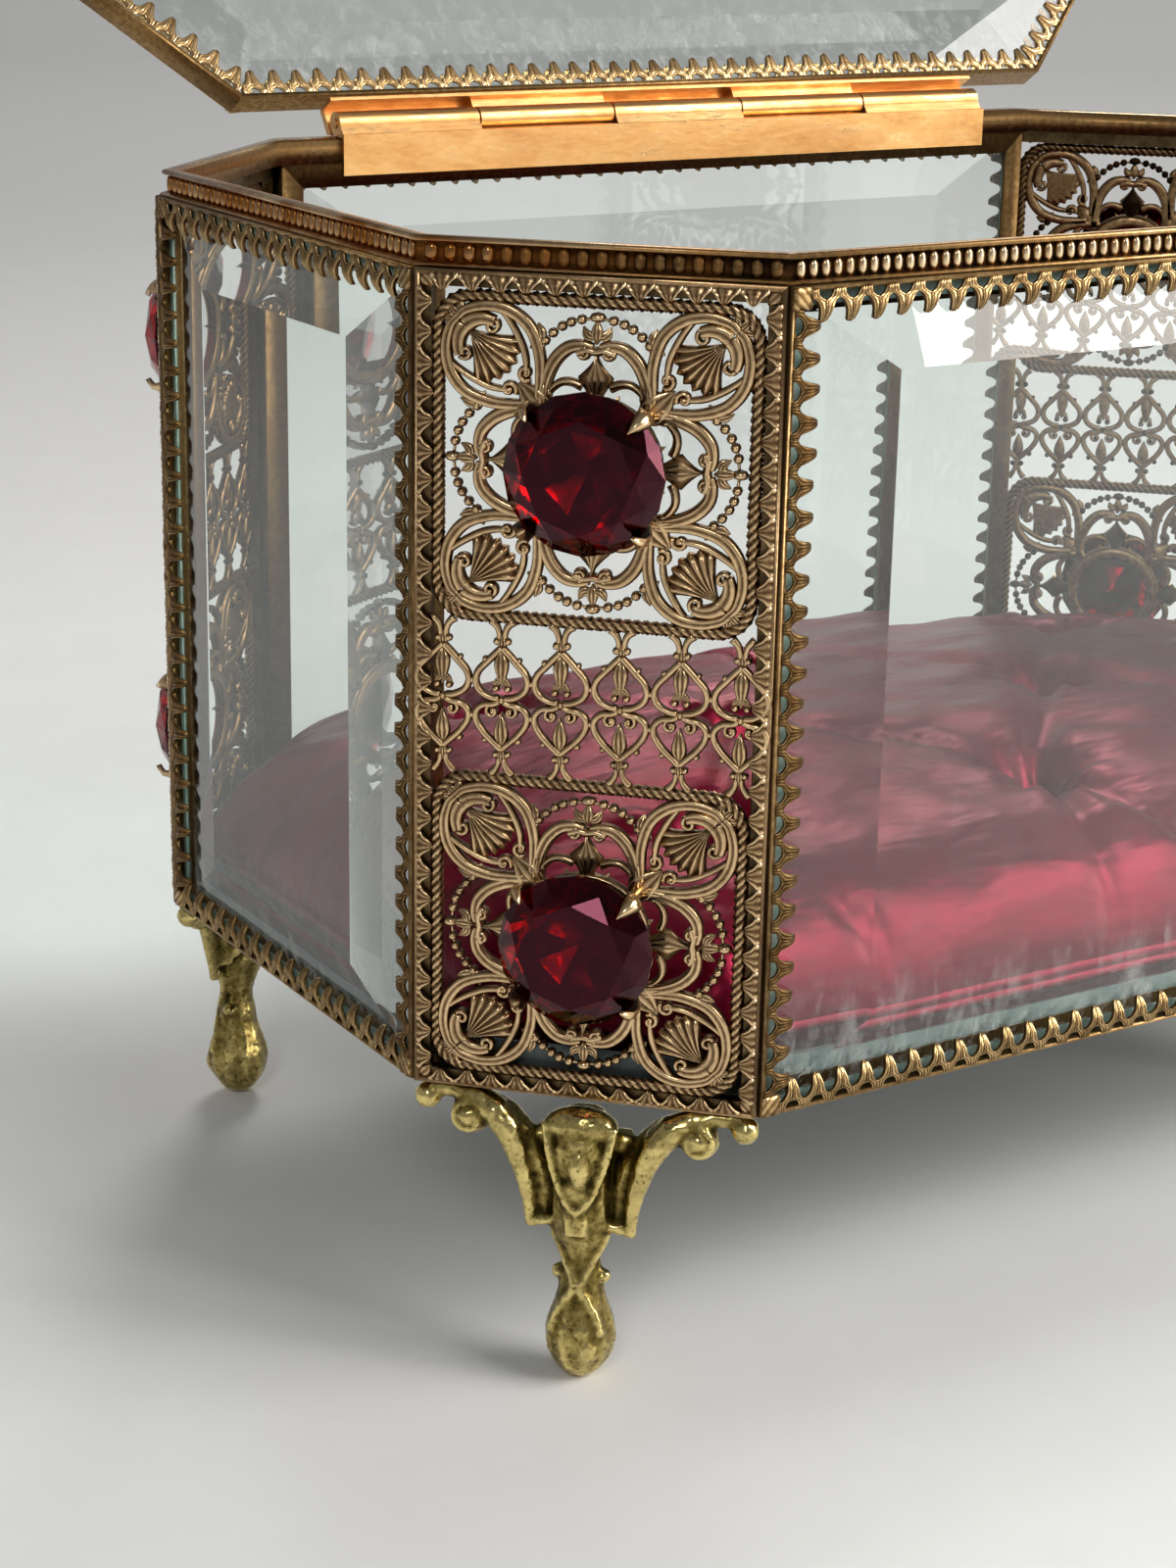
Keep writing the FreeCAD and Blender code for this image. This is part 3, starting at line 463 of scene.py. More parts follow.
# Sections of a ribbon: share of the half width, share of the height, relief
GROOVED = ((-1.0, 0.10, 0.05), (-0.84, 0.72, 0.55), (-0.46, 1.0, 1.0), (0.0, 0.74, 0.26), (0.46, 1.0, 1.0),
           (0.84, 0.72, 0.55), (1.0, 0.10, 0.05), (0.75, -0.45, 0.5), (-0.75, -0.45, 0.5))
ROUND = ((-1.0, 0.1, 0.05), (-0.7, 0.75, 0.55), (0.0, 1.0, 1.0), (0.7, 0.75, 0.55), (1.0, 0.1, 0.05),
         (0.7, -0.45, 0.5), (-0.7, -0.45, 0.5))
LEAFY = ((-1.0, 0.30, 0.15), (-0.66, 0.85, 0.95), (-0.3, 0.55, 0.18), (0.0, 1.0, 1.0), (0.3, 0.55, 0.18),
         (0.66, 0.85, 0.95), (1.0, 0.30, 0.15), (0.7, -0.3, 0.5), (-0.7, -0.3, 0.5))


def ribbon(work, path, half, height, base=0.0, section=ROUND, closed=False):
    """Band along a flat line; half width and height may change along it."""
    count = len(path)
    halves = np.broadcast_to(half, count)
    heights = np.broadcast_to(height, count)
    points = []
    relief = []
    for k in range(count):
        before = path[k - 1] if closed or k else path[k]
        after = path[(k + 1) % count] if closed or k + 1 < count else path[k]
        along = (after - before) / max(abs(after - before), 1e-6)
        for share, rise, shade in section:
            spot = path[k] + 1j * along * share * halves[k]
            points.append((spot.real, spot.imag, base + rise * heights[k]))
            relief.append(shade)
    work.add(points, row_faces(count, len(section), closed), relief)


def boss(work, centre, radius, height, length=None, rings=4):
    """Rounded lump, which may be longer across."""
    sides = 8
    length = length or radius
    points = [(centre.real, centre.imag, height)]
    relief = [1.0]
    for k in range(1, rings + 1):
        tilt = 0.5 * math.pi * k / rings * 1.25
        for j in range(sides):
            step = 2 * math.pi * j / sides
            spot = centre + complex(length * math.cos(step), radius * math.sin(step)) * math.sin(tilt)
            points.append((spot.real, spot.imag, height * math.cos(tilt)))
            relief.append(max(0.0, math.cos(tilt)) ** 1.5)
    work.add(points, dome_faces(sides, rings), relief)


def plate(work, rows):
    """Closed plate over rows of (flat point, height, relief, back)."""
    columns = len(rows[0])
    cells = [cell for row in rows for cell in row]
    under = len(cells)
    points = [(spot.real, spot.imag, height) for spot, height, shade, back in cells]
    points += [(spot.real, spot.imag, back) for spot, height, shade, back in cells]
    relief = [shade for spot, height, shade, back in cells] + [PLATE_BACK] * under
    faces = []
    for k in range(len(rows) - 1):
        for j in range(columns - 1):
            near = k * columns + j
            quad = (near, near + 1, near + columns + 1, near + columns)
            faces.append(quad)
            faces.append(tuple(under + corner for corner in reversed(quad)))
    rim = list(range(columns))
    rim += [k * columns + columns - 1 for k in range(1, len(rows))]
    rim += [(len(rows) - 1) * columns + j for j in range(columns - 2, -1, -1)]
    rim += [k * columns for k in range(len(rows) - 2, 0, -1)]
    for near, far in zip(rim, rim[1:] + rim[:1]):
        faces.append((far, near, under + near, under + far))
    work.add(points, faces, relief)


def leaf(work, root, tip, half, height, sway=0.0, fullest=0.45):
    """Pointed, ribbed leaf from its root to its tip, which may sway to one side."""
    reach = tip - root
    path = smooth_line([root, root + reach * (0.5 + 1j * sway), tip], 4)
    count = len(path)
    halves = []
    for k in range(count):
        t = k / (count - 1)
        swell = t / fullest if t < fullest else (1 - t) / (1 - fullest)
        halves.append(half * (0.08 + 0.92 * math.sin(0.5 * math.pi * swell)))
    shares = [min(1.0, k / (count - 1) + 0.12) for k in range(count)]
    heights = [height * (0.55 + 0.45 * math.sin(math.pi * share)) for share in shares]
    ribbon(work, path, halves, heights, section=LEAFY)


def spear(work, root, tip, half, height):
    """Bud with a narrow stem, straight shoulders and a sharp middle rib."""
    count = 12
    widest = 0.60
    halves = []
    for k in range(count):
        t = k / (count - 1)
        swell = 0.22 + 0.78 * (t / widest) ** 2.6 if t < widest else ((1 - t) / (1 - widest)) ** 1.35
        halves.append(half * max(0.04, swell))
    section = ((-1.0, 0.30, 0.75), (-0.62, 0.36, 0.25), (-0.34, 0.66, 0.9), (-0.16, 0.58, 0.3),
               (0.0, 1.0, 1.0), (0.16, 0.58, 0.3), (0.34, 0.66, 0.9), (0.62, 0.36, 0.25), (1.0, 0.30, 0.75),
               (0.7, -0.3, 0.0), (-0.7, -0.3, 0.0))
    path = [root + (tip - root) * k / (count - 1) for k in range(count)]
    ribbon(work, path, halves, height, section=section)


def shell(work, hinge, way, radius, spread, ribs, height):
    """Scallop shell that fans out from its hinge."""
    columns = 4 * ribs + 1
    rows = []
    for share in (0.06, 0.22, 0.42, 0.62, 0.82, 1.0):
        row = []
        for j in range(columns):
            lean = spread * (2 * j / (columns - 1) - 1)
            crest = 0.5 - 0.5 * math.cos(math.pi * j / 2)
            reach = radius * (0.70 + 0.30 * math.cos(lean * 1.3)) * (0.92 + 0.08 * crest)
            spot = hinge + way * cmath.exp(1j * lean * (0.75 + 0.25 * share)) * reach * share
            dome = math.sin(math.pi * (0.2 + 0.6 * share)) * math.cos(lean * 1.2)
            row.append((spot, height * dome * (0.62 + 0.38 * crest), 0.15 + 0.8 * crest, -0.25))
        rows.append(row)
    plate(work, rows)


SCROLL_STEPS = 14


def scroll(centre, start_radius, turns, start_angle, hand=1):
    """Line that winds in to a centre."""
    line = []
    count = max(4, int(SCROLL_STEPS * turns))
    for k in range(count + 1):
        t = k / count
        radius = start_radius * (1 - 0.82 * t)
        line.append(centre + radius * cmath.exp(1j * (start_angle + hand * 2 * math.pi * turns * t)))
    return line


def rope(work, path, radius, ridge, pitch):
    """Twisted rope along a closed flat line."""
    strands = 4
    sides = 10
    lengths = [0.0]
    for a, b in zip(path, path[1:] + path[:1]):
        lengths.append(lengths[-1] + abs(b - a))
    ridges = round(lengths[-1] / pitch)
    count = len(path)
    points = []
    relief = []
    for k in range(count):
        along = path[(k + 1) % count] - path[k - 1]
        along /= abs(along)
        phase = 2 * math.pi * ridges * lengths[k] / lengths[-1]
        for j in range(sides):
            step = 2 * math.pi * j / sides
            swell = math.cos(strands * step - phase)
            reach = radius + ridge * swell
            spot = path[k] + 1j * along * reach * math.cos(step)
            points.append((spot.real, spot.imag, 0.9 * reach * math.sin(step)))
            relief.append(min(1.0, max(0.0, 0.5 + 0.5 * swell)) * (0.55 + 0.45 * max(0.0, math.sin(step))))
    work.add(points, row_faces(count, sides, closed=True), relief)


def rounded_square(half, corner, spacing):
    """Closed line round a square with round corners, in even steps."""
    line = []
    near = half - corner
    middle = complex(near, near)
    straight = int(2 * near / spacing)
    bend = int(0.5 * math.pi * corner / spacing)
    for quarter in range(4):
        turn = 1j ** quarter
        line += [turn * complex(half, -near + 2 * near * k / straight) for k in range(straight)]
        line += [turn * (middle + corner * cmath.exp(0.5j * math.pi * k / bend)) for k in range(bend)]
    return line


# Rosettes

LOOP_HEIGHT = 0.88
MOTIF_SCALE = 0.965


def drawn(put, points, steps):
    """Smooth line through points that a function puts in place."""
    return smooth_line([put(across, up) for across, up in points], steps)


def curled(put, centre, start_radius, turns, start_angle, hand=1):
    """Line that winds in to a centre, put in place by a function."""
    return [put(z.real, z.imag) for z in scroll(centre, start_radius, turns, start_angle, hand)]


def tapered(ends, middle, count):
    """Half widths along a band that is fullest in the middle."""
    return [ends + (middle - ends) * math.sin(math.pi * k / (count - 1)) for k in range(count)]


def corner_motif(work, turn):
    """Pear-shaped loop along a diagonal, with a scallop shell, small scrolls and leaves."""
    for hand in (1, -1):
        def put(across, up):
            return turn * complex(across, hand * up)

        arm = drawn(put, ((8.9, 0.5), (9.9, 1.7), (11.8, 3.5), (14.4, 4.75), (17.0, 4.5), (19.1, 3.1),
                          (20.3, 1.2), (20.4, 0.0)), 5)
        ribbon(work, arm, tapered(0.46, 0.68, len(arm)), LOOP_HEIGHT, section=GROOVED)
        inner = drawn(put, ((18.3, 3.8), (16.7, 3.7), (15.0, 3.3), (13.3, 2.65), (12.1, 1.8),
                            (11.4, 1.0)), 4)
        ribbon(work, inner, tapered(0.28, 0.42, len(inner)), 0.70)
        curl = curled(put, complex(11.55, 1.25), 0.85, 1.2, 3.4)
        ribbon(work, curl, np.linspace(0.34, 0.22, len(curl)), 0.7)
        boss(work, put(11.55, 1.25), 0.34, 0.85)
        tie = drawn(put, ((19.3, 0.0), (19.0, 1.1), (18.3, 2.0), (17.5, 2.5)), 4)
        ribbon(work, tie, np.linspace(0.92, 0.6, len(tie)), 1.05, section=GROOVED)
        curl = curled(put, complex(17.35, 1.95), 0.75, 1.1, 1.4)
        ribbon(work, curl, 0.3, 0.9)
        leaf(work, put(7.6, 0.3), put(9.9, 2.6), 1.0, 1.0, sway=-0.1 * hand)
        leaf(work, put(20.5, 0.2), put(21.4, 1.5), 0.45, 0.6)
    shell(work, turn * 18.7, -turn, 6.0, math.radians(40), 7, 1.3)
    leaf(work, turn * 6.4, turn * 11.4, 1.6, 1.25)
    leaf(work, turn * 20.2, turn * 22.2, 0.5, 0.6)


def side_motif(work, turn):
    """Horseshoe loop on one side, with a bud, and a beaded swag beyond it."""
    for hand in (1, -1):
        def put(across, up):
            return turn * complex(hand * across, up)

        arm = drawn(put, ((5.2, 4.4), (5.25, 6.2), (5.0, 8.2), (4.2, 10.1), (2.9, 11.4), (1.5, 11.75),
                          (0.4, 11.55)), 5)
        ribbon(work, arm, tapered(0.50, 0.74, len(arm)), LOOP_HEIGHT, section=GROOVED)
        curl = curled(put, complex(1.35, 11.0), 0.66, 1.1, 1.57)
        ribbon(work, curl, 0.32, 0.95)
        boss(work, put(1.3, 11.05), 0.34, 1.05)
        thin = drawn(put, ((5.1, 6.2), (4.5, 7.3), (3.5, 8.05), (2.4, 8.1), (1.4, 7.7)), 4)
        ribbon(work, thin, np.linspace(0.36, 0.52, len(thin)), 0.65)
        leaf(work, put(0.9, 5.6), put(2.3, 7.0), 0.45, 0.7, sway=-0.15 * hand)
        swag = drawn(put, ((0.55, 14.35), (2.2, 14.1), (3.9, 13.25), (5.2, 12.0)), 8)
        travelled = 0.0
        for before, spot in zip(swag, swag[1:]):
            travelled += abs(spot - before)
            if travelled >= 0.94:
                boss(work, spot, 0.53, 0.76, rings=3)
                travelled = 0.0
        ribbon(work, swag, 0.16, 0.25)
        leaf(work, put(5.0, 12.2), put(6.7, 11.2), 0.72, 0.75)
        leaf(work, put(5.4, 11.9), put(5.9, 13.7), 0.62, 0.72)
        leaf(work, turn * 12.5j, put(1.4, 13.6), 0.55, 0.75, sway=-0.2 * hand)
    spear(work, turn * 5.0j, turn * 10.9j, 2.05, 1.25)
    spots = ((-1.9, 11.0), (-0.9, 11.35), (0, 11.2), (0.9, 11.35), (1.9, 11.0))
    tie = smooth_line([turn * complex(across, up) for across, up in spots], 4)
    ribbon(work, tie, 0.5, 1.1)
    leaf(work, turn * 11.9j, turn * 14.3j, 0.62, 0.85)
    boss(work, turn * 14.5j, 0.55, 0.75, length=0.85)


def rosette_mesh():
    """Square rosette: rope border, four corner motifs and four side motifs about the setting."""
    work = Ornament()
    rope(work, rounded_square(ROSETTE / 2 - 0.70, 3.4, 0.19), 0.64, 0.15, 0.95)
    for quarter in range(4):
        corner_motif(work, MOTIF_SCALE * 1j ** quarter * cmath.exp(0.25j * math.pi))
        side_motif(work, 1j ** quarter)
    collar = [5.9 * cmath.exp(2j * math.pi * k / 32) for k in range(32)]
    ribbon(work, collar, 0.8, 0.5, base=-0.4, closed=True)
    return work.mesh("rosette_filigree", FILIGREE)


def lattice_mesh():
    """Lattice band: columns of pointed arches over hanging hearts, between the ropes."""
    work = Ornament()
    for k in range(LATTICE_COLUMNS):
        middle = (k - (LATTICE_COLUMNS - 1) / 2) * LATTICE_PITCH
        for hand in (1, -1):
            def put(across, up):
                return complex(middle + hand * across, up)

            foot = drawn(put, ((1.15, 8.1), (0.55, 7.5), (0.3, 6.8), (0.3, 6.3)), 3)
            ribbon(work, foot, (0.5, 0.45, 0.4, 0.38, 0.36, 0.34, 0.33, 0.32, 0.32, 0.32), 0.5)
            boss(work, put(0.55, 5.95), 0.42, 0.62)
            arch = drawn(put, ((0.0, 5.35), (0.75, 4.6), (1.6, 3.7), (2.45, 2.75), (2.72, 1.75),
                               (2.3, 0.75), (1.3, 0.15), (0.35, 0.0)), 4)
            ribbon(work, arch, 0.40, 0.70)
            boss(work, put(1.75, 4.05), 0.34, 0.6)
            leaf(work, complex(middle, 2.3), put(0.95, 1.15), 0.38, 0.62)
            boss(work, put(0.62, 1.05), 0.42, 0.72)
            heart = drawn(put, ((0.25, -0.35), (0.9, -0.62), (1.9, -0.75), (2.65, -1.5), (2.6, -2.5),
                                (1.9, -3.6), (1.0, -4.5), (0.0, -5.4)), 4)
            ribbon(work, heart, 0.40, 0.70)
            curl = curled(put, complex(0.95, -1.35), 0.75, 1.1, 1.7, -1)
            ribbon(work, curl, 0.26, 0.66)
            boss(work, put(0.92, -1.4), 0.3, 0.78)
            boss(work, put(1.75, -4.45), 0.36, 0.6)
            boss(work, put(0.6, -5.95), 0.4, 0.6)
            foot = drawn(put, ((0.28, -6.3), (0.32, -6.9), (0.6, -7.5), (1.1, -8.1)), 3)
            ribbon(work, foot, (0.3, 0.3, 0.3, 0.31, 0.33, 0.35, 0.38, 0.4, 0.44, 0.48), 0.5)
        leaf(work, complex(middle, 6.6), complex(middle, 5.0), 0.5, 0.6)
        leaf(work, complex(middle, 4.9), complex(middle, 1.2), 0.82, 0.95, fullest=0.30)
        leaf(work, complex(middle, -1.5), complex(middle, -5.0), 0.82, 0.95, fullest=0.68)
        leaf(work, complex(middle, -5.2), complex(middle, -6.9), 0.45, 0.6)
        boss(work, complex(middle, -0.2), 0.5, 0.6)
    for k in range(LATTICE_COLUMNS - 1):
        joint = (k - (LATTICE_COLUMNS - 2) / 2) * LATTICE_PITCH
        boss(work, complex(joint, 1.75), 0.42, 0.6)
        boss(work, complex(joint, -1.9), 0.42, 0.6)
    return work.mesh("lattice_work", FILIGREE)


# Gallery strip: half-moon windows, ridged posts between them and a ridged claw over each

TILE_PITCH = 3.15
TILE_LAP = 0.015
WINDOW_HALF = 0.98
WINDOW_DEPTH = 1.05
UPRIGHT_TARNISH = 0.58

# Across a band of a tile: share, rise, relief
TILE_BAND = ((0.0, 0.80, 0.9), (0.24, 0.15, 0.12), (0.46, 0.95, 1.0), (0.66, 0.25, 0.15), (0.86, 1.0, 1.0),
             (1.0, 0.1, 0.25))

# Down a short claw of a corner: inset, half width as a share of half the pitch, height
SCALLOP_PITCH = 2.9
SCALLOP_ROOT = 0.76
SCALLOP_REACH = 1.30
SCALLOP_ROWS = ((0.30, 1.01, 0.45), (0.55, 1.01, 0.66), (0.76, 1.01, 0.72), (0.82, 0.92, 0.76),
                (0.96, 0.79, 0.84), (1.16, 0.64, 0.90), (1.42, 0.52, 0.94), (1.68, 0.40, 0.90),
                (1.90, 0.27, 0.80), (2.06, 0.10, 0.66))

# Across it: share of the half width, rise, relief
SCALLOP_RIBS = ((-1.0, 0.02, 0.9), (-0.82, 0.08, 1.0), (-0.58, -0.12, 0.1), (-0.32, 0.04, 0.7),
                (0.0, -0.08, 0.2), (0.32, 0.04, 0.7), (0.58, -0.12, 0.1), (0.82, 0.08, 1.0),
                (1.0, 0.02, 0.9))


def tile_lines(pitch, near, valley, reach):
    """Edges of half a tile as matching (along, in) points: window and claw middle, and outside."""
    edge = pitch / 2 + TILE_LAP
    top = near + WINDOW_DEPTH
    claw = reach - valley
    window = []
    for k in range(6):
        angle = 0.5 * math.pi * k / 5
        window.append((WINDOW_HALF * math.cos(angle), near + WINDOW_DEPTH * math.sin(angle)))
    window[-1] = (-TILE_LAP, top)
    window += [(-TILE_LAP, top + (reach - near - WINDOW_DEPTH) * k / 4) for k in range(1, 5)]
    outer = [(edge, near), (edge, near + 0.55 * (valley - near)), (edge, valley),
             (0.83 * edge, valley + 0.03 * claw), (0.68 * edge, valley + 0.12 * claw),
             (0.55 * edge, valley + 0.30 * claw), (0.45 * edge, valley + 0.52 * claw),
             (0.36 * edge, valley + 0.74 * claw), (0.27 * edge, valley + 0.92 * claw), (0.08 * edge, reach)]
    return window, outer


def strip_tiles(work, start, along, inward, run, chance, near=0.42, valley=1.30, reach=3.8, lift=0.0,
                drop=0.4, bulge=0.32, ridge=0.24, tarnish=1.0):
    """Row of tiles along one edge of a frame: ridged bands round each window run together into its claw."""
    count = max(1, round(run / TILE_PITCH))
    pitch = run / count
    window, outer = tile_lines(pitch, near, valley, reach)
    for k in range(count):
        middle = start + along * pitch * (k + 0.5)
        skew = chance.uniform(-0.16, 0.16)
        press = chance.uniform(-0.14, 0.10)
        short = chance.uniform(0.90, 1.0)
        for hand in (1, -1):
            rows = []
            for (a, b), (c, d) in zip(window, outer):
                row = []
                for share, up, light in TILE_BAND:
                    x = hand * (a + (c - a) * share)
                    y = b + (d - b) * share
                    tip = max(0.0, (y - valley) / (reach - valley))
                    y = valley + (y - valley) * short if tip else y
                    level = lift + bulge * math.sin(math.pi * tip) - drop * tip ** 2 + press * tip
                    spot = middle + along * (x + skew * tip) + inward * y
                    row.append((spot, level + up * ridge * (1 - 0.3 * tip), light * tarnish, level - 0.30))
                rows.append(row)
            plate(work, rows)


def channel(work, start, end, along, inward, mitre_start, mitre_end, section):
    """Folded channel along one edge, mitred at its ends, from (in, out) section points."""
    points = []
    relief = []
    for corner, way, mitre in ((start, 1, mitre_start), (end, -1, mitre_end)):
        for depth, out in section:
            spot = corner + along * way * depth * mitre + inward * depth
            points.append((spot.real, spot.imag, out))
            relief.append(0.55 if out > -0.2 else 0.3)
    work.add(points, row_faces(2, len(section)), relief)


def channel_section(lip):
    """Section of a folded strip as (in, out) points: bar in front, web, and a lip behind."""
    return ((lip, -FRAME_DEPTH), (0.15, -FRAME_DEPTH), (0.0, -FRAME_DEPTH + 0.15), (0.0, -0.28),
            (0.09, -0.06), (0.26, 0.02), (0.5, 0.02), (0.5, -0.3), (STRIP, -0.5),
            (STRIP, STRIP - FRAME_DEPTH), (lip, STRIP - FRAME_DEPTH))


def edges(corners):
    """Edges of an outline: start, end, way along, way in, and the mitre at each end."""
    count = len(corners)
    for k in range(count):
        start, end = corners[k], corners[(k + 1) % count]
        along = (end - start) / abs(end - start)
        mitres = []
        for spot, other, way in ((start, corners[k - 1], along), (end, corners[(k + 2) % count], -along)):
            opening = abs(cmath.phase((other - spot) / abs(other - spot) / way))
            mitres.append(1 / math.tan(opening / 2))
        yield start, end, along, 1j * along, mitres


def claw_frame_mesh(name, corners, seed, material=STRIP_GILT, lip=BACK_FLANGE):
    """Channel and claws round a glass whose outline runs anticlockwise through complex corners."""
    work = Ornament()
    chance = random.Random(seed)
    for start, end, along, inward, mitres in edges(corners):
        channel(work, start, end, along, inward, *mitres, channel_section(lip))
        margin = 2.3 * max(mitres)
        upright = abs(along.imag) > 0.9 and material is STRIP_GILT
        strip_tiles(work, start + along * margin, along, inward, abs(end - start) - 2 * margin, chance,
                    tarnish=UPRIGHT_TARNISH if upright else 1.0)
        before = corners[corners.index(start) - 1]
        corner_plate(work, start, along, (before - start) / abs(before - start), margin)
    return work.mesh(name, material)


def ground_edge_mesh(name, corners):
    """Cloudy margin of a glass where it sits in its channel."""
    work = Ornament()
    section = ((0.62, -1.30), (0.62, -1.12), (2.0, -0.92), (2.0, -1.08))
    for start, end, along, inward, mitres in edges(corners):
        channel(work, start, end, along, inward, *mitres, section)
    return work.mesh(name, GROUND_EDGE)


def lid_lining_mesh(corners):
    """Claws of the lid's inner side, level with the underside of its frame."""
    work = Ornament()
    chance = random.Random(LINING_SEED)
    for start, end, along, inward, mitres in edges(corners):
        margin = 1.6 * max(mitres)
        strip_tiles(work, start + along * margin, along, inward, abs(end - start) - 2 * margin, chance,
                    near=0.4, valley=1.9, reach=4.0, lift=-0.25, drop=0.1, bulge=0.0, ridge=0.2)
    return work.mesh("lid_lining", LID_GILT_PAINTED_LIGHT)


def corner_plate(work, corner, first, second, margin):
    """Ridged plate where two rows of claws meet."""
    steps = 5
    edge = 0.15
    rows = []
    for k in range(steps):
        row = []
        for j in range(steps):
            spot = (corner + first * (edge + (margin - edge) * k / (steps - 1))
                    + second * (edge + (margin - edge) * j / (steps - 1)))
            odd = (k + j) % 2
            row.append((spot, 0.05 + 0.2 * odd, 0.85 if odd else 0.3, -0.4))
        rows.append(row)
    plate(work, rows)


def rectangle(width, height):
    """Corners of a rectangle about the middle, anticlockwise."""
    return [complex(-width / 2, -height / 2), complex(width / 2, -height / 2),
            complex(width / 2, height / 2), complex(-width / 2, height / 2)]


def scallop_row(work, start, along, inward, run, chance):
    """Row of short ribbed claws beside the rope, with a pointed notch between each pair."""
    count = max(1, round(run / SCALLOP_PITCH))
    pitch = run / count
    for k in range(count):
        middle = start + along * pitch * (k + 0.5)
        skew = chance.uniform(-0.18, 0.18)
        press = chance.uniform(-0.12, 0.08)
        short = chance.uniform(0.86, 1.0)
        rows = []
        for inset, half, out in SCALLOP_ROWS:
            tip = max(0.0, (inset - SCALLOP_ROOT) / SCALLOP_REACH)
            depth = SCALLOP_ROOT + (inset - SCALLOP_ROOT) * short if tip else inset
            level = out + press * tip
            row = []
            for share, rise, shade in SCALLOP_RIBS:
                spot = middle + along * (share * half * pitch / 2 + skew * tip) + inward * depth
                row.append((spot, level + rise * (1 - 0.4 * tip), shade, level - 0.36))
            rows.append(row)
        plate(work, rows)


def corner_border_mesh():
    """Gallery strip round a corner panel, its short claws beside the ropes."""
    work = Ornament()
    chance = random.Random(BORDER_SEED)
    section = ((0.0, -0.9), (0.0, 0.20), (0.12, 0.42), (0.35, 0.52), (0.62, 0.48), (0.62, -0.9))
    for start, end, along, inward, mitres in edges(rectangle(CORNER_FACE, PANEL_HEIGHT)):
        channel(work, start, end, along, inward, *mitres, section)
        margin = 1.7
        scallop_row(work, start + along * margin, along, inward, abs(end - start) - 2 * margin, chance)
        corner_plate(work, start + (along + inward) * 0.2, along, inward, margin)
    return work.mesh("corner_border", FILIGREE)


# Stones and their settings

def stone_mesh():
    """Round stone with table, star, kite and girdle facets in front and foil-backed facets behind."""
    table, middle, girdle = 5.6, 7.05, STONE_RADIUS
    top, half_way, edge, culet = 2.45, 1.4, 0.2, -4.6
    points = []

    def ring(count, radius, out, offset):
        first = len(points)
        for k in range(count):
            step = 2 * math.pi * (k + offset) / count
            across, up = radius * math.cos(step), radius * math.sin(step)
            points.append((across * MM, -(STONE_STANDOFF + out) * MM, up * MM))
        return [first + k for k in range(count)]

    crown = ring(8, table, top, 0.0)
    kites = ring(8, middle, half_way, 0.5)
    rim = ring(16, girdle, edge, 0.0)
    belt = ring(16, girdle, -edge, 0.0)
    pavilion = ring(8, girdle * 0.55, -2.6, 0.5)
    point = ring(1, 0.0, culet, 0.0)
    front = [tuple(crown)]
    behind = []
    for k in range(8):
        after = (k + 1) % 8
        front.append((crown[k], crown[after], kites[k]))
        front.append((crown[k], kites[k - 1], rim[2 * k], kites[k]))
        front.append((kites[k], rim[2 * k], rim[2 * k + 1]))
        front.append((kites[k], rim[2 * k + 1], rim[(2 * k + 2) % 16]))
        behind.append((pavilion[k], belt[2 * k], belt[2 * k + 1]))
        behind.append((pavilion[k], belt[2 * k + 1], belt[(2 * k + 2) % 16]))
        behind.append((pavilion[k - 1], belt[2 * k], pavilion[k], point[0]))
    for k in range(16):
        after = (k + 1) % 16
        front.append((rim[k], rim[after], belt[after], belt[k]))
    made = bpy.data.meshes.new("ruby_stone")
    made.from_pydata(points, [], front + behind)
    turn_faces_out(made)
    made.materials.append(RUBY)
    made.materials.append(RUBY_FOIL)
    for polygon in made.polygons:
        polygon.material_index = 0 if polygon.index < len(front) else 1
    return made


def setting_mesh():
    """Cup ring with four leaf prongs whose tips close over the stone."""
    work = Ornament()
    ring = [6.4 * cmath.exp(2j * math.pi * k / 32) for k in range(32)]
    ribbon(work, ring, 0.55, 1.0, base=0.1, section=GROOVED, closed=True)
    # Prong line: distance from the middle, height in front of the panel, half width
    line = ((6.2, -0.2, 0.55), (7.0, 1.6, 0.75), (8.1, 3.6, 1.05), (8.7, 5.1, 1.15), (8.45, 5.9, 0.95),
            (7.5, 6.5, 0.55), (6.6, 6.95, 0.10))
    # Its section: share of the half width, share of the thickness, relief
    section = ((-1, 0.2, 0.5), (-0.5, 0.8, 0.9), (0, 1.3, 1.0), (0.5, 0.8, 0.9), (1, 0.2, 0.5),
               (0.8, -0.4, 0.1), (-0.8, -0.4, 0.1))
    thickness = 0.4
    widest = 8.7
    for quarter in range(4):
        way = 1j ** quarter * cmath.exp(0.25j * math.pi)
        points = []
        relief = []
        for k, (reach, out, half) in enumerate(line):
            if quarter and k > 3:
                reach = widest - (widest - reach) * 0.62
                half *= 0.7
            before, after = line[max(k - 1, 0)], line[min(k + 1, len(line) - 1)]
            slope = Vector((after[0] - before[0], after[1] - before[1])).normalized()
            for share, rise, shade in section:
                far = reach + slope[1] * rise * thickness
                spot = way * complex(far, share * half)
                points.append((spot.real, spot.imag, out - slope[0] * rise * thickness))
                relief.append(shade)
        work.add(points, row_faces(len(line), len(section)), relief)
    return work.mesh("stone_setting", FILIGREE)


# Cast feet, blended from rounded lumps and bars

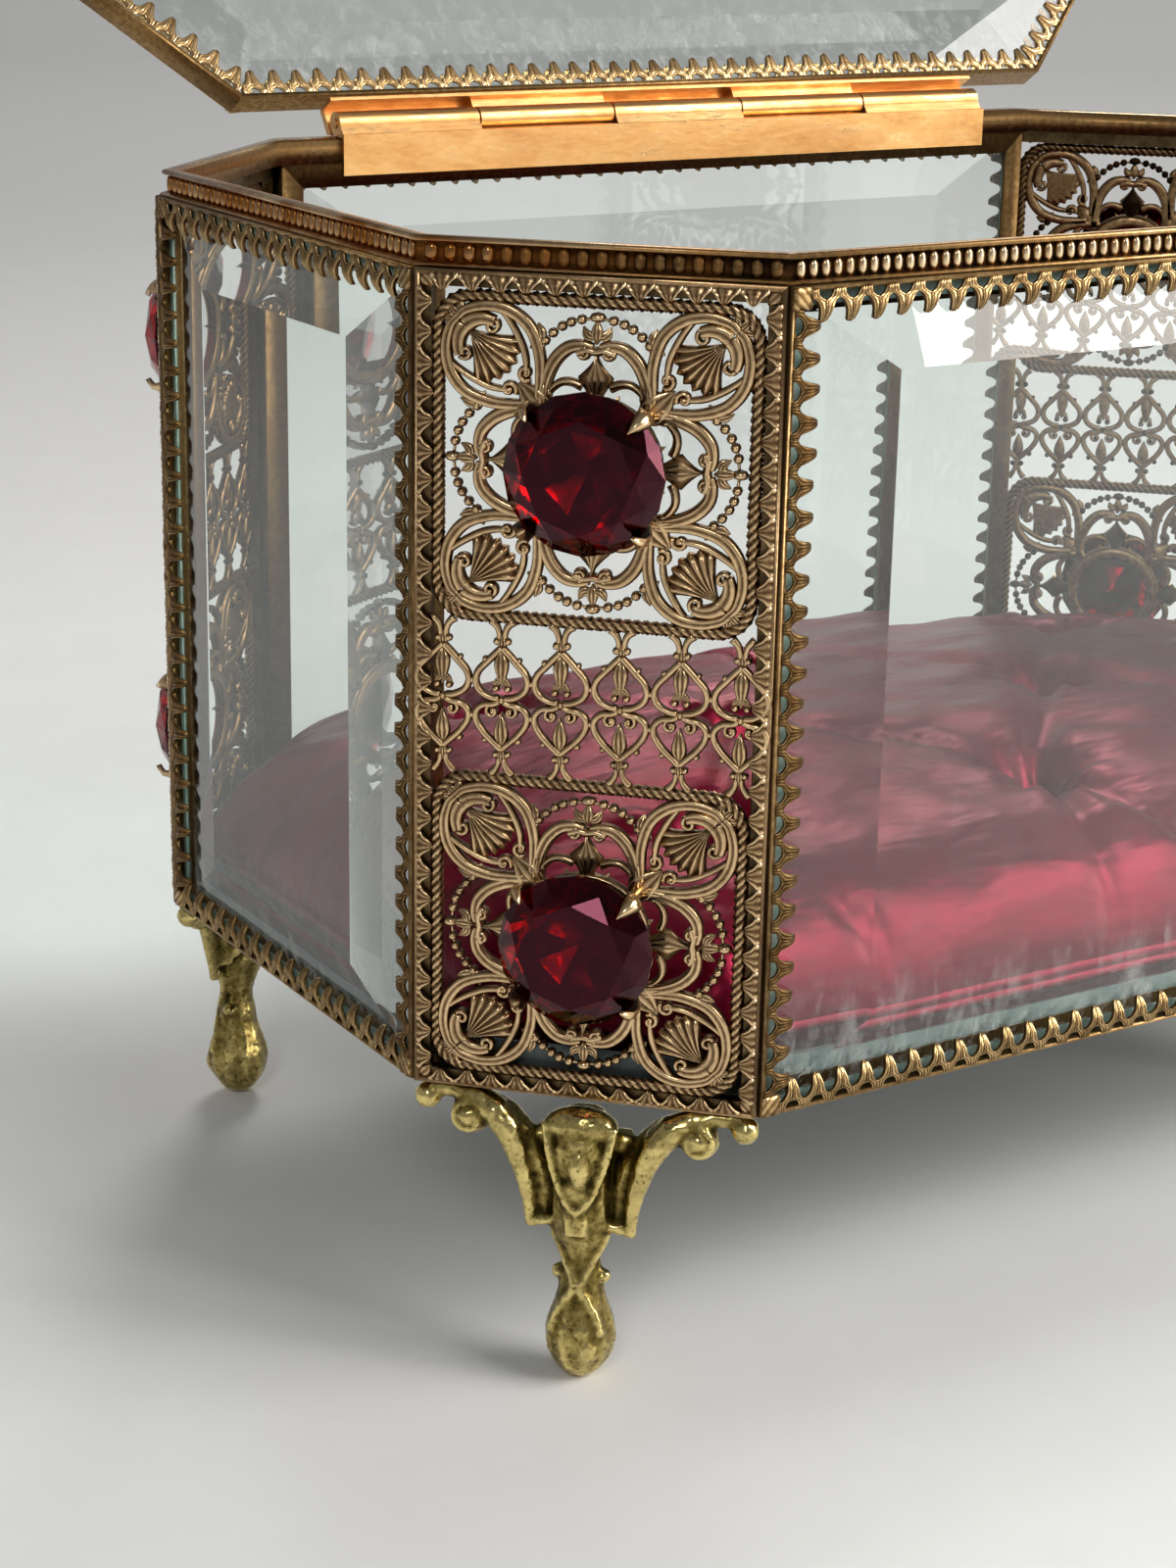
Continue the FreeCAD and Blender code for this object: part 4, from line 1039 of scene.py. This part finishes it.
def tube(work, line):
    """Round bar with closed ends through (across, up, out, radius) points."""
    sides = 10
    spots = [Vector(row[:3]) for row in line]
    rows = []
    for k, spot in enumerate(spots):
        ahead = (spots[min(k + 1, len(spots) - 1)] - spots[max(k - 1, 0)]).normalized()
        level = ahead.cross(Vector((0, 0, 1)))
        if level.length < 0.1:
            level = ahead.cross(Vector((1, 0, 0)))
        level.normalize()
        upright = ahead.cross(level)
        ring = []
        for j in range(sides):
            step = 2 * math.pi * j / sides
            way = level * math.cos(step) + upright * math.sin(step)
            ring.append(work.verts.new(spot + line[k][3] * way))
        rows.append(ring)
    for near, far in zip(rows, rows[1:]):
        for j in range(sides):
            work.faces.new((near[j], near[(j + 1) % sides], far[(j + 1) % sides], far[j]))
    work.faces.new(rows[0])
    work.faces.new(rows[-1])


def lump(work, centre, radii):
    """Ellipsoid."""
    place = Matrix.Translation(centre) @ Matrix.Diagonal((*radii, 1.0))
    bmesh.ops.create_uvsphere(work, u_segments=20, v_segments=14, radius=1.0, matrix=place)


# Leg and toe of a foot: height and radius
LEG_LINE = ((-32.6, 1.0), (-31.8, 2.2), (-30.6, 3.1), (-29.2, 3.75), (-27.7, 4.0), (-26.2, 3.8),
            (-24.4, 3.15), (-22.6, 2.6), (-20.8, 2.4), (-19.6, 2.15), (-18.4, 2.05), (-17.0, 2.5),
            (-15.5, 3.1), (-13.5, 3.5), (-10.0, 3.4), (-6.0, 3.0), (-1.6, 2.4))


def on_leg(across, up, sunk, radius):
    """Point of a bar that lies on the front of the leg."""
    reach = np.interp(up, [row[0] for row in LEG_LINE], [row[1] for row in LEG_LINE])
    out = math.sqrt(max(reach ** 2 - across ** 2, 0.1)) - 0.8
    return (across, up, out - sunk, radius)


def foot_mesh():
    """Foot: scrolled wings, a cartouche on the knee, crossed straps and a pear-shaped toe."""
    work = bmesh.new()
    tube(work, [(0, up, -0.8, radius) for up, radius in LEG_LINE])
    for hand in (1, -1):
        def put(line):
            return [(hand * across, up, out, radius) for across, up, out, radius in line]

        tube(work, put(((17.2, -1.0, -1.3, 0.9), (14.2, -0.9, -1.1, 1.05), (11.6, -1.5, -0.7, 1.5),
                        (9.6, -2.5, -0.2, 1.75), (8.0, -4.3, 0.2, 1.65), (6.9, -6.7, 0.45, 1.35),
                        (6.1, -9.5, 0.5, 1.05), (5.6, -12.4, 0.4, 0.8), (5.5, -15.3, 0.2, 0.55))))
        tube(work, put(((11.0, -1.7, -1.4, 1.2), (8.6, -3.0, -1.1, 1.5), (6.6, -5.2, -0.9, 1.6),
                        (5.1, -7.8, -0.8, 1.6), (4.4, -10.6, -0.8, 1.4), (4.3, -13.2, -0.8, 1.2))))
        tube(work, put(((5.6, -14.5, 0.0, 0.75), (4.3, -14.3, 0.35, 0.7), (2.9, -14.0, 0.6, 0.6))))
        lump(work, (hand * 17.2, -2.0, -1.1), (1.5, 1.5, 1.5))
        lump(work, (hand * 12.4, -3.5, -0.6), (2.2, 2.1, 1.6))
        curl = []
        for k in range(17):
            step = 0.5 * math.pi - hand * 2 * math.pi * 1.3 * k / 16
            radius = 1.85 - 1.4 * k / 16
            across, up = hand * 12.4 + radius * math.cos(step), -3.5 + radius * math.sin(step)
            curl.append((across, up, 0.35 + 0.045 * k, 0.42))
        tube(work, curl)
        lump(work, (hand * 12.4, -3.5, 0.9), (0.6, 0.6, 0.6))
        strap = ((2.9, -15.0), (2.5, -16.4), (1.75, -17.8), (1.0, -19.4), (0.3, -20.9), (-0.5, -21.9),
                 (-1.4, -23.2), (-2.2, -24.8), (-2.75, -26.6))
        tube(work, [on_leg(hand * across, up, 0.22, 0.55) for across, up in strap])
        lump(work, (hand * 2.5, -20.5, -0.6), (0.8, 0.85, 0.9))
        tube(work, put(((3.7, -2.4, 1.2, 0.6), (3.2, -5.2, 2.0, 0.55), (2.6, -7.6, 2.2, 0.5),
                        (1.9, -9.6, 2.3, 0.45))))
    lump(work, (0, -2.9, 0.5), (4.1, 2.2, 2.2))
    lump(work, (0, -6.0, 0.9), (3.1, 4.2, 2.3))
    lump(work, (0, -9.6, 1.3), (1.9, 2.5, 1.8))
    lump(work, (0.3, -7.0, 2.55), (1.15, 2.3, 1.25))
    lump(work, (0.1, -4.3, 2.1), (2.0, 1.0, 0.9))
    tube(work, ((-2.2, -9.2, 2.0, 0.42), (-1.2, -10.9, 2.6, 0.46), (0.0, -12.0, 2.8, 0.48),
                (1.2, -10.9, 2.6, 0.46), (2.2, -9.2, 2.0, 0.42)))
    block = Matrix.Translation((0, -13.7, 1.7)) @ Matrix.Diagonal((2.3, 2.2, 2.4, 1.0))
    bmesh.ops.create_cube(work, size=1.0, matrix=block)
    for up in (-5.2, -8.0, -10.8):
        tube(work, ((-5.0, up, -1.8, 1.5), (5.0, up, -1.8, 1.5)))
    lump(work, (1.2, -28.3, 1.2), (1.5, 2.0, 2.0))
    bmesh.ops.recalc_face_normals(work, faces=work.faces)
    rough = bpy.data.meshes.new("foot_rough")
    work.to_mesh(rough)
    work.free()
    holder = bpy.data.objects.new("foot_rough", rough)
    scene.collection.objects.link(holder)
    remesh = holder.modifiers.new("blend", "REMESH")
    remesh.mode = "VOXEL"
    remesh.voxel_size = 0.26
    ease = holder.modifiers.new("ease", "SMOOTH")
    ease.factor = 0.5
    ease.iterations = 7
    bpy.context.view_layer.update()
    made = applied(holder)
    bpy.data.objects.remove(holder)
    crests = convexity(made, 6) * 2.0 + convexity(made, 24) * 1.5
    shades = []
    for vertex, normal, crest in zip(made.vertices, made.vertex_normals, crests):
        grain = noise.fractal(vertex.co * 1.3, 0.8, 2.1, 4)
        spot = vertex.co + normal.vector * 0.07 * grain
        shades.append(min(1.0, max(0.0, 0.43 + crest + 0.22 * grain)))
        vertex.co = (spot[0] * MM, -spot[2] * MM, min(-0.05, max(-FOOT_HEIGHT, spot[1])) * MM)
    set_relief(made, shades)
    made.shade_smooth()
    made.materials.clear()
    made.materials.append(CAST)
    return made


def convexity(mesh, passes):
    """How far each point stands out from its surroundings, in millimetres, over a number of rings."""
    count = len(mesh.vertices)
    spots = np.empty(count * 3)
    mesh.vertices.foreach_get("co", spots)
    spots = spots.reshape(-1, 3)
    facing = np.empty(count * 3, np.float32)
    mesh.vertex_normals.foreach_get("vector", facing)
    pairs = np.empty(len(mesh.edges) * 2, np.int32)
    mesh.edges.foreach_get("vertices", pairs)
    pairs = pairs.reshape(-1, 2)
    degree = np.bincount(pairs.ravel(), minlength=count)[:, None]
    eased = spots.copy()
    for _ in range(passes):
        total = np.zeros_like(eased)
        np.add.at(total, pairs[:, 0], eased[pairs[:, 1]])
        np.add.at(total, pairs[:, 1], eased[pairs[:, 0]])
        eased = total / degree
    return ((spots - eased) * facing.reshape(-1, 3)).sum(axis=1)


# Top rim: a row of pegs between a thin ledge and a bright top edge

RIM_BACK_INSET = 4.4
PEG_INSET = 1.2
PEG_MARGIN = 0.35

# Across the casket: where the reddish patina sets in, and the stretch of the rim's front at the near corner
# that is darkened with painted shade
PATINA_START = -68.0
PATINA_RUN = 9.0
PAINTED_SHADE_FROM = -80.0
PAINTED_SHADE_TO = -58.5
PAINTED_SHADE_LEVEL = 0.26


def rim_mesh():
    """Fluted rim: a band round the plan, with pegs along its outer face."""
    work = Ornament()
    chance = random.Random(RIM_SEED)
    low = FOOT_HEIGHT + PANEL_HEIGHT
    high = low + RIM_HEIGHT
    # Section: inset, height above the panels, relief
    section = ((0.35, 0.0, 0.5), (0.35, 0.30, 0.9), (0.55, 0.42, 0.9), (1.2, 0.46, 0.0), (1.2, 2.35, 0.0),
               (0.75, 2.40, 0.6), (0.58, 2.55, 0.95), (0.60, 2.85, 1.0), (0.85, 3.0, 1.0), (1.6, 3.0, 0.8),
               (2.7, 2.8, 0.45), (2.7, 0.0, 0.2))
    points = []
    relief = []
    for inset, rise, shade in section:
        insets = [inset] * len(WALLS)
        if inset > 2.0:
            insets[BACK] = RIM_BACK_INSET
        for corner in octagon(insets):
            points.append((corner.real, low + rise, -corner.imag))
            relief.append(shade)
    work.add(points, row_faces(len(section), len(WALLS), closed=True), relief)
    for wall, (start, end, along, inward, _) in zip(WALLS, edges(octagon([PEG_INSET] * len(WALLS)))):
        wanted = 1.45 if wall in CORNERS else 1.95
        run = abs(end - start)
        count = round((run - 2 * PEG_MARGIN) / wanted)
        pitch = (run - 2 * PEG_MARGIN) / count
        for k in range(count):
            middle = start + along * (PEG_MARGIN + pitch * (k + 0.5))
            peg(work, middle, along, -inward, (low + high) / 2 - 0.1, 0.38 * pitch, chance)
    made = work.mesh("fluted_rim", RIM_GILT)
    ages = made.attributes.new("patina", "FLOAT", "POINT")
    for vertex, age, shade in zip(made.vertices, ages.data, made.attributes["relief"].data):
        across = vertex.co.x / MM
        age.value = min(1.0, max(0.0, (PATINA_START - across) / PATINA_RUN))
        # Painted shade: the rim's front at the near corner is darkened as if it lay in shadow
        if vertex.co.y < 0 and PAINTED_SHADE_FROM < across < PAINTED_SHADE_TO:
            shade.value *= PAINTED_SHADE_LEVEL
    return made


def peg(work, middle, along, outward, height, half, chance):
    """Upright peg with rounded ends on the rim."""
    tall = 1.0
    proud = 0.58 + chance.uniform(-0.07, 0.04)
    sides, rings = 8, 4
    points = [(middle.real + outward.real * proud, height, -(middle.imag + outward.imag * proud))]
    relief = [1.0]
    for ring in range(1, rings + 1):
        tilt = 0.5 * math.pi * ring / rings * 1.08
        for side in range(sides):
            step = 2 * math.pi * (side + 0.5) / sides
            reach = math.sin(tilt)
            across = half * reach * math.cos(step)
            up = math.copysign(abs(math.sin(step)) ** 0.6, math.sin(step)) * tall * reach ** 0.7
            spot = middle + outward * proud * math.cos(tilt) + along * across
            points.append((spot.real, height + up, -spot.imag))
            relief.append(max(0.05, math.cos(tilt)))
    work.add(points, dome_faces(sides, rings), relief)


# Cushion, swelled by a cloth simulation that is held at the tufts and at its foot

TUFT_SPACING = 46.0
TUFT_ROW = 27.0
TUFTS = [(k * TUFT_SPACING, side * TUFT_ROW) for k in (-1, 0, 1) for side in (-1, 1)]
TUFTS += [(-TUFT_SPACING / 2, 0.0), (TUFT_SPACING / 2, 0.0)]
CLOTH_STEPS = 20

# In metres: mesh size, reach of the held foot and tufts, and the most that the stuffing moves a point
CUSHION_VOXEL = 0.0026
HELD_FOOT = 0.0015
HELD_TUFT = 0.0036
MOST_SWELL = 0.006


def stuff(holder):
    """Swell the satin by cloth pressure and keep the result, held at its foot and its tufts."""
    before = [vertex.co.copy() for vertex in holder.data.vertices]
    held = holder.vertex_groups.new(name="held")
    for vertex in holder.data.vertices:
        near = min(math.hypot(vertex.co.x - x * MM, vertex.co.y - y * MM) for x, y in TUFTS)
        if vertex.co.z < CUSHION_FOOT * MM + HELD_FOOT or near < HELD_TUFT:
            held.add([vertex.index], 1.0, "REPLACE")
    cloth = holder.modifiers.new("stuffing", "CLOTH")
    cloth.settings.quality = 6
    cloth.settings.mass = 0.15
    cloth.settings.tension_stiffness = 12
    cloth.settings.compression_stiffness = 6
    cloth.settings.shear_stiffness = 4
    cloth.settings.bending_stiffness = 0.4
    cloth.settings.use_pressure = True
    cloth.settings.uniform_pressure_force = 4.0
    cloth.settings.vertex_group_mass = "held"
    cloth.settings.effector_weights.gravity = 0
    cloth.point_cache.frame_start = 1
    cloth.point_cache.frame_end = CLOTH_STEPS
    for step in range(1, CLOTH_STEPS + 1):
        scene.frame_set(step)
    grown = applied(holder)
    scene.frame_set(1)
    holder.modifiers.clear()
    holder.data = grown
    for vertex, start in zip(grown.vertices, before):
        step = vertex.co - start
        if step.length > MOST_SWELL:
            vertex.co = start + step.normalized() * MOST_SWELL


def cushion_mesh():
    """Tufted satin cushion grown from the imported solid."""
    source = nodes["cushion"].data.copy()
    holder = bpy.data.objects.new("cushion_blank", source)
    scene.collection.objects.link(holder)
    middle = Vector((0, 0, CUSHION_FOOT * MM))
    shrink = Matrix.Diagonal((0.975, 0.965, 0.92, 1.0))
    source.transform(Matrix.Translation(middle) @ shrink @ Matrix.Translation(-middle))
    remesh = holder.modifiers.new("even", "REMESH")
    remesh.mode = "VOXEL"
    remesh.voxel_size = CUSHION_VOXEL
    bpy.context.view_layer.update()
    even = applied(holder)
    holder.modifiers.clear()
    holder.data = even
    stuff(holder)
    finer = holder.modifiers.new("finer", "SUBSURF")
    finer.levels = 1
    finer.render_levels = 1
    bpy.context.view_layer.update()
    made = applied(holder)
    bpy.data.objects.remove(holder)
    sew_pleats(made)
    made.name = "cushion_satin"
    made.shade_smooth()
    made.materials.clear()
    made.materials.append(SATIN)
    return made


def pleat_lines():
    """Creases from tuft to tuft and from the outer tufts to the edges."""
    lines = []
    for x, y in TUFTS:
        for a, b in TUFTS:
            beside = abs(abs(x - a) - TUFT_SPACING / 2) < 0.1 and abs(abs(y - b) - TUFT_ROW) < 0.1
            if beside and (x, y) < (a, b):
                lines.append((complex(x, y), complex(a, b)))
        if y:
            for lean in (-11.0, 14.0):
                lines.append((complex(x, y), complex(x * 1.06 + lean, math.copysign(60.0, y))))
    for hand in (-1, 1):
        for side in (-1, 1):
            lines.append((complex(hand * TUFT_SPACING, side * TUFT_ROW), complex(hand * 84, side * 14)))
    return lines


def sew_pleats(mesh):
    """Draws the satin in along its pleats and down at its tufts."""
    lines = pleat_lines()
    for vertex in mesh.vertices:
        spot = complex(vertex.co.x, vertex.co.y) / MM
        rise = vertex.co.z / MM - CUSHION_FOOT
        top = min(1.0, max(0.0, (rise - 4.0) / 6.0))
        drop = 0.0
        for start, end in lines:
            run = end - start
            t = min(1.0, max(0.0, ((spot - start) * run.conjugate()).real / abs(run) ** 2))
            away = abs(spot - start - run * t)
            wander = 0.5 * noise.noise(Vector((spot.real * 0.12, spot.imag * 0.12, 3.0)))
            drop = max(drop, (1.5 - 0.6 * math.sin(math.pi * t)) * math.exp(-((away + wander) / 1.5) ** 2))
        for x, y in TUFTS:
            away, way = cmath.polar(spot - complex(x, y))
            drop += 1.6 * math.exp(-(away / 2.6) ** 2)
            drop += 0.55 * math.cos(7 * way + x) * (away / 6.0) * math.exp(1 - (away / 6.0) ** 2)
        pucker = 0.6 * noise.noise(Vector((spot.real * 0.10, spot.imag * 0.16, rise * 0.1)))
        vertex.co.z += (pucker - drop) * top * MM
        vertex.co.z = max(vertex.co.z, CUSHION_FOOT * MM + 0.0001)


def hem_mesh(cushion):
    """Rolled hem round the cushion, just above the wall of the tray."""
    surface = BVHTree.FromPolygons([vertex.co for vertex in cushion.vertices],
                                   [tuple(polygon.vertices) for polygon in cushion.polygons])
    height = FOOT_HEIGHT + 6.1
    line = []
    for start, end, along, inward, _ in edges(octagon([3.0, 0.5] * 4)):
        count = round(abs(end - start) / 1.5)
        for k in range(count):
            spot = start + along * abs(end - start) * (k + 0.5) / count
            origin = Vector((spot.real, spot.imag, height)) * MM
            hit = surface.ray_cast(origin, Vector((inward.real, inward.imag, 0)), 0.02)[0]
            if hit:
                line.append(complex(hit.x, hit.y) / MM + inward * 0.30)
    for _ in range(3):
        line = [(line[k - 1] + 2 * line[k] + line[(k + 1) % len(line)]) / 4 for k in range(len(line))]
    points = []
    faces = []
    sides = 10
    count = len(line)
    for k in range(count):
        along = line[(k + 1) % count] - line[k - 1]
        outward = -1j * along / abs(along)
        radius = 0.85 + 0.14 * noise.noise(Vector((line[k].real * 0.2, line[k].imag * 0.2, 1.0)))
        for j in range(sides):
            step = 2 * math.pi * j / sides
            spot = line[k] + outward * radius * math.cos(step)
            points.append((spot.real * MM, spot.imag * MM, (height + radius * math.sin(step)) * MM))
            near, far = k * sides, (k + 1) % count * sides
            faces.append((near + j, far + j, far + (j + 1) % sides, near + (j + 1) % sides))
    made = bpy.data.meshes.new("cushion_hem")
    made.from_pydata(points, [], faces)
    made.shade_smooth()
    made.materials.append(SATIN)
    return made


# Put the pieces in place

for side in SIDES:
    outline = rectangle(LONG_PANEL if side in ("front", "back") else SHORT_PANEL, PANEL_HEIGHT)
    mesh = claw_frame_mesh(f"{side}_claw_strip", outline, STRIP_SEED + SIDES.index(side))
    place_piece(f"{side}_claw_strip", mesh, wall_matrix(side, PANEL_MIDDLE), "casket",
                [f"{side}_claw_frame"])
    mesh = ground_edge_mesh(f"{side}_glass_margin", outline)
    place_piece(f"{side}_glass_margin", mesh, wall_matrix(side, PANEL_MIDDLE), "casket")

rosette = rosette_mesh()
lattice = lattice_mesh()
border = corner_border_mesh()
stone = stone_mesh()
setting = setting_mesh()
foot = foot_mesh()
for corner in CORNERS:
    place_piece(f"{corner}_border", border, wall_matrix(corner, PANEL_MIDDLE), "casket")
    place_piece(f"{corner}_lattice_work", lattice, wall_matrix(corner, PANEL_MIDDLE), "casket",
                [f"{corner}_lattice"])
    place_piece(f"{corner}_cast_foot", foot, wall_matrix(corner, FOOT_HEIGHT), "casket",
                [f"{corner}_foot"])
    for level, height in LEVELS.items():
        name = f"{corner}_{level}"
        place = wall_matrix(corner, height)
        place_piece(f"{name}_filigree", rosette, place, "casket", [f"{name}_rosette"])
        place_piece(f"{name}_ruby", stone, place, "casket", [f"{name}_stone"])
        place_piece(f"{name}_prongs", setting, place, "casket", [f"{name}_setting"])

place_piece("fluted_rim", rim_mesh(), Matrix.Identity(4), "casket", ["top_rim"])
lid_insets = [0.9] * len(WALLS)
lid_insets[BACK] = 5.5
lid_plan = octagon(lid_insets)
lid_closed = Matrix.Translation((0, -HINGE_Y, -LID_DROP))
lid_turn = Matrix.Translation((0, HINGE_Y, HINGE_Z)) @ Matrix.Rotation(math.radians(LID_ANGLE), 4, "X")
lid_open = lid_turn @ lid_closed
lid_face = Matrix.Translation((0, 0, FRAME_DEPTH * MM))
lid_top = lid_open @ lid_face @ Matrix.Rotation(math.radians(-90), 4, "X")
lid_under = lid_open @ Matrix.Rotation(math.radians(90), 4, "X")
lid_strip = claw_frame_mesh("lid_claw_strip", lid_plan, LID_STRIP_SEED, LID_GILT_PAINTED_LIGHT, 0.6)
place_piece("lid_claw_strip", lid_strip, lid_top, "lid", ["lid_frame"])
mirrored = [corner.conjugate() for corner in reversed(lid_plan)]
place_piece("lid_lining", lid_lining_mesh(mirrored), lid_under, "lid")
cushion = place_piece("satin_cushion", cushion_mesh(), Matrix.Identity(4), "casket",
                      ["cushion"])
place_piece("cushion_hem", hem_mesh(cushion.data), Matrix.Identity(4), "casket")


def dress(name, material):
    """Material for a carried-over CAD node."""
    slots = nodes[name].data.materials
    slots.clear()
    slots.append(material)


for side in SIDES:
    dress(f"{side}_glass", GLASS)
# The corner frames behind the filigree take the darkened brass, which is painted shade in the filigree's
# openings
for corner in CORNERS:
    dress(f"{corner}_corner_frame", SHADED_STRIP)
dress("lid_glass", GLASS)
dress("base_tray", ZINC)
for name in ("casket_hinge_leaf", "lid_hinge_leaf", "hinge_pin"):
    dress(name, HINGE_GILT)

# Floor, light and camera

def floor_mesh():
    """Pale floor that turns up into a wall all round."""
    work = bmesh.new()
    sides = 64
    rows = []
    steps = [2 * math.pi * k / sides for k in range(sides)]
    profile = ((0.0001, 0.0), (0.5, 0.0), (1.0, 0.0), (1.35, 0.03), (1.6, 0.13), (1.78, 0.30), (1.88, 0.55),
               (1.9, 1.4))
    for radius, height in profile:
        rows.append([work.verts.new((radius * math.cos(a), radius * math.sin(a), height)) for a in steps])
    for near, far in zip(rows, rows[1:]):
        for k in range(sides):
            work.faces.new((near[k], far[k], far[(k + 1) % sides], near[(k + 1) % sides]))
    work.faces.new(rows[0])
    made = bpy.data.meshes.new("floor")
    bmesh.ops.recalc_face_normals(work, faces=work.faces)
    work.to_mesh(made)
    work.free()
    made.shade_smooth()
    return made


floor_material, floor_tree, floor_shader = new_material("floor")
grain = object_noise(floor_tree, 60.0, 5.0)
pale = ramp(floor_tree, grain, ((0.3, (0.89, 0.885, 0.875)), (0.7, (0.92, 0.915, 0.905))))
# Painted shade: the floor's colour darkens from about 0.3 m out to 1.9 m from the middle, standing in for
# the light falling off away from the casket
reach = node(floor_tree, "ShaderNodeVectorMath", operation="LENGTH")
floor_tree.links.new(node(floor_tree, "ShaderNodeTexCoord").outputs["Object"], reach.inputs[0])
painted_falloff = ramp(floor_tree, arithmetic(floor_tree, "MULTIPLY", reach.outputs["Value"], 0.5),
                  ((0.16, grey(0.0)), (0.42, grey(0.66)), (0.95, grey(1.0))))
shaded = mixed(floor_tree, "MIX", pale, (0.52, 0.52, 0.515), painted_falloff)
floor_tree.links.new(shaded, floor_shader.inputs["Base Color"])
floor_shader.inputs["Roughness"].default_value = 0.6
floor = bpy.data.objects.new("floor", floor_mesh())
floor.data.materials.append(floor_material)
scene.collection.objects.link(floor)

world = bpy.data.worlds.new("studio")
world.use_nodes = True
set_inputs(world.node_tree.nodes["Background"], {"Color": (0.80, 0.81, 0.83, 1.0), "Strength": 0.21})
scene.world = world


def lamp(name, place, aim, size, power, colour):
    """Soft box that looks at a point."""
    light = bpy.data.lights.new(name, "AREA")
    light.shape = "RECTANGLE"
    light.size, light.size_y = size
    light.energy = power
    light.color = colour
    made = bpy.data.objects.new(name, light)
    made.location = place
    made.rotation_euler = (Vector(aim) - Vector(place)).to_track_quat("-Z", "Y").to_euler()
    scene.collection.objects.link(made)


MIDDLE = (0.0, 0.0, 0.08)
lamp("window_light", (0.92, -1.10, 1.12), MIDDLE, (1.2, 0.7), 22.5, (1.0, 0.985, 0.96))
lamp("back_light", (0.75, 1.00, 1.10), MIDDLE, (0.5, 0.5), 6.0, (1.0, 0.99, 0.97))
lamp("front_fill", (-0.75, -0.85, 0.85), MIDDLE, (0.3, 0.3), 2.6, (0.97, 0.985, 1.0))
lamp("right_glow", (0.64, -0.80, 0.28), MIDDLE, (0.16, 0.45), 2.2, (1.0, 0.95, 0.87))

YAW, PITCH, ROLL = (math.radians(a) for a in (31.75, 17.94, 1.09))
ahead = Vector((math.sin(YAW) * math.cos(PITCH), math.cos(YAW) * math.cos(PITCH), -math.sin(PITCH)))
level = Vector((math.cos(YAW), -math.sin(YAW), 0))
upright = level.cross(ahead)
right = level * math.cos(ROLL) + upright * math.sin(ROLL)
top = upright * math.cos(ROLL) - level * math.sin(ROLL)
lens = bpy.data.cameras.new("camera")
lens.lens = 68.445
lens.sensor_width = 36.0
lens.clip_start = 0.01
camera = bpy.data.objects.new("camera", lens)
turn = Matrix((right, top, -ahead)).transposed().to_4x4()
camera.matrix_world = Matrix.Translation((-0.2240, -0.2883, 0.1605)) @ turn
scene.collection.objects.link(camera)
scene.camera = camera
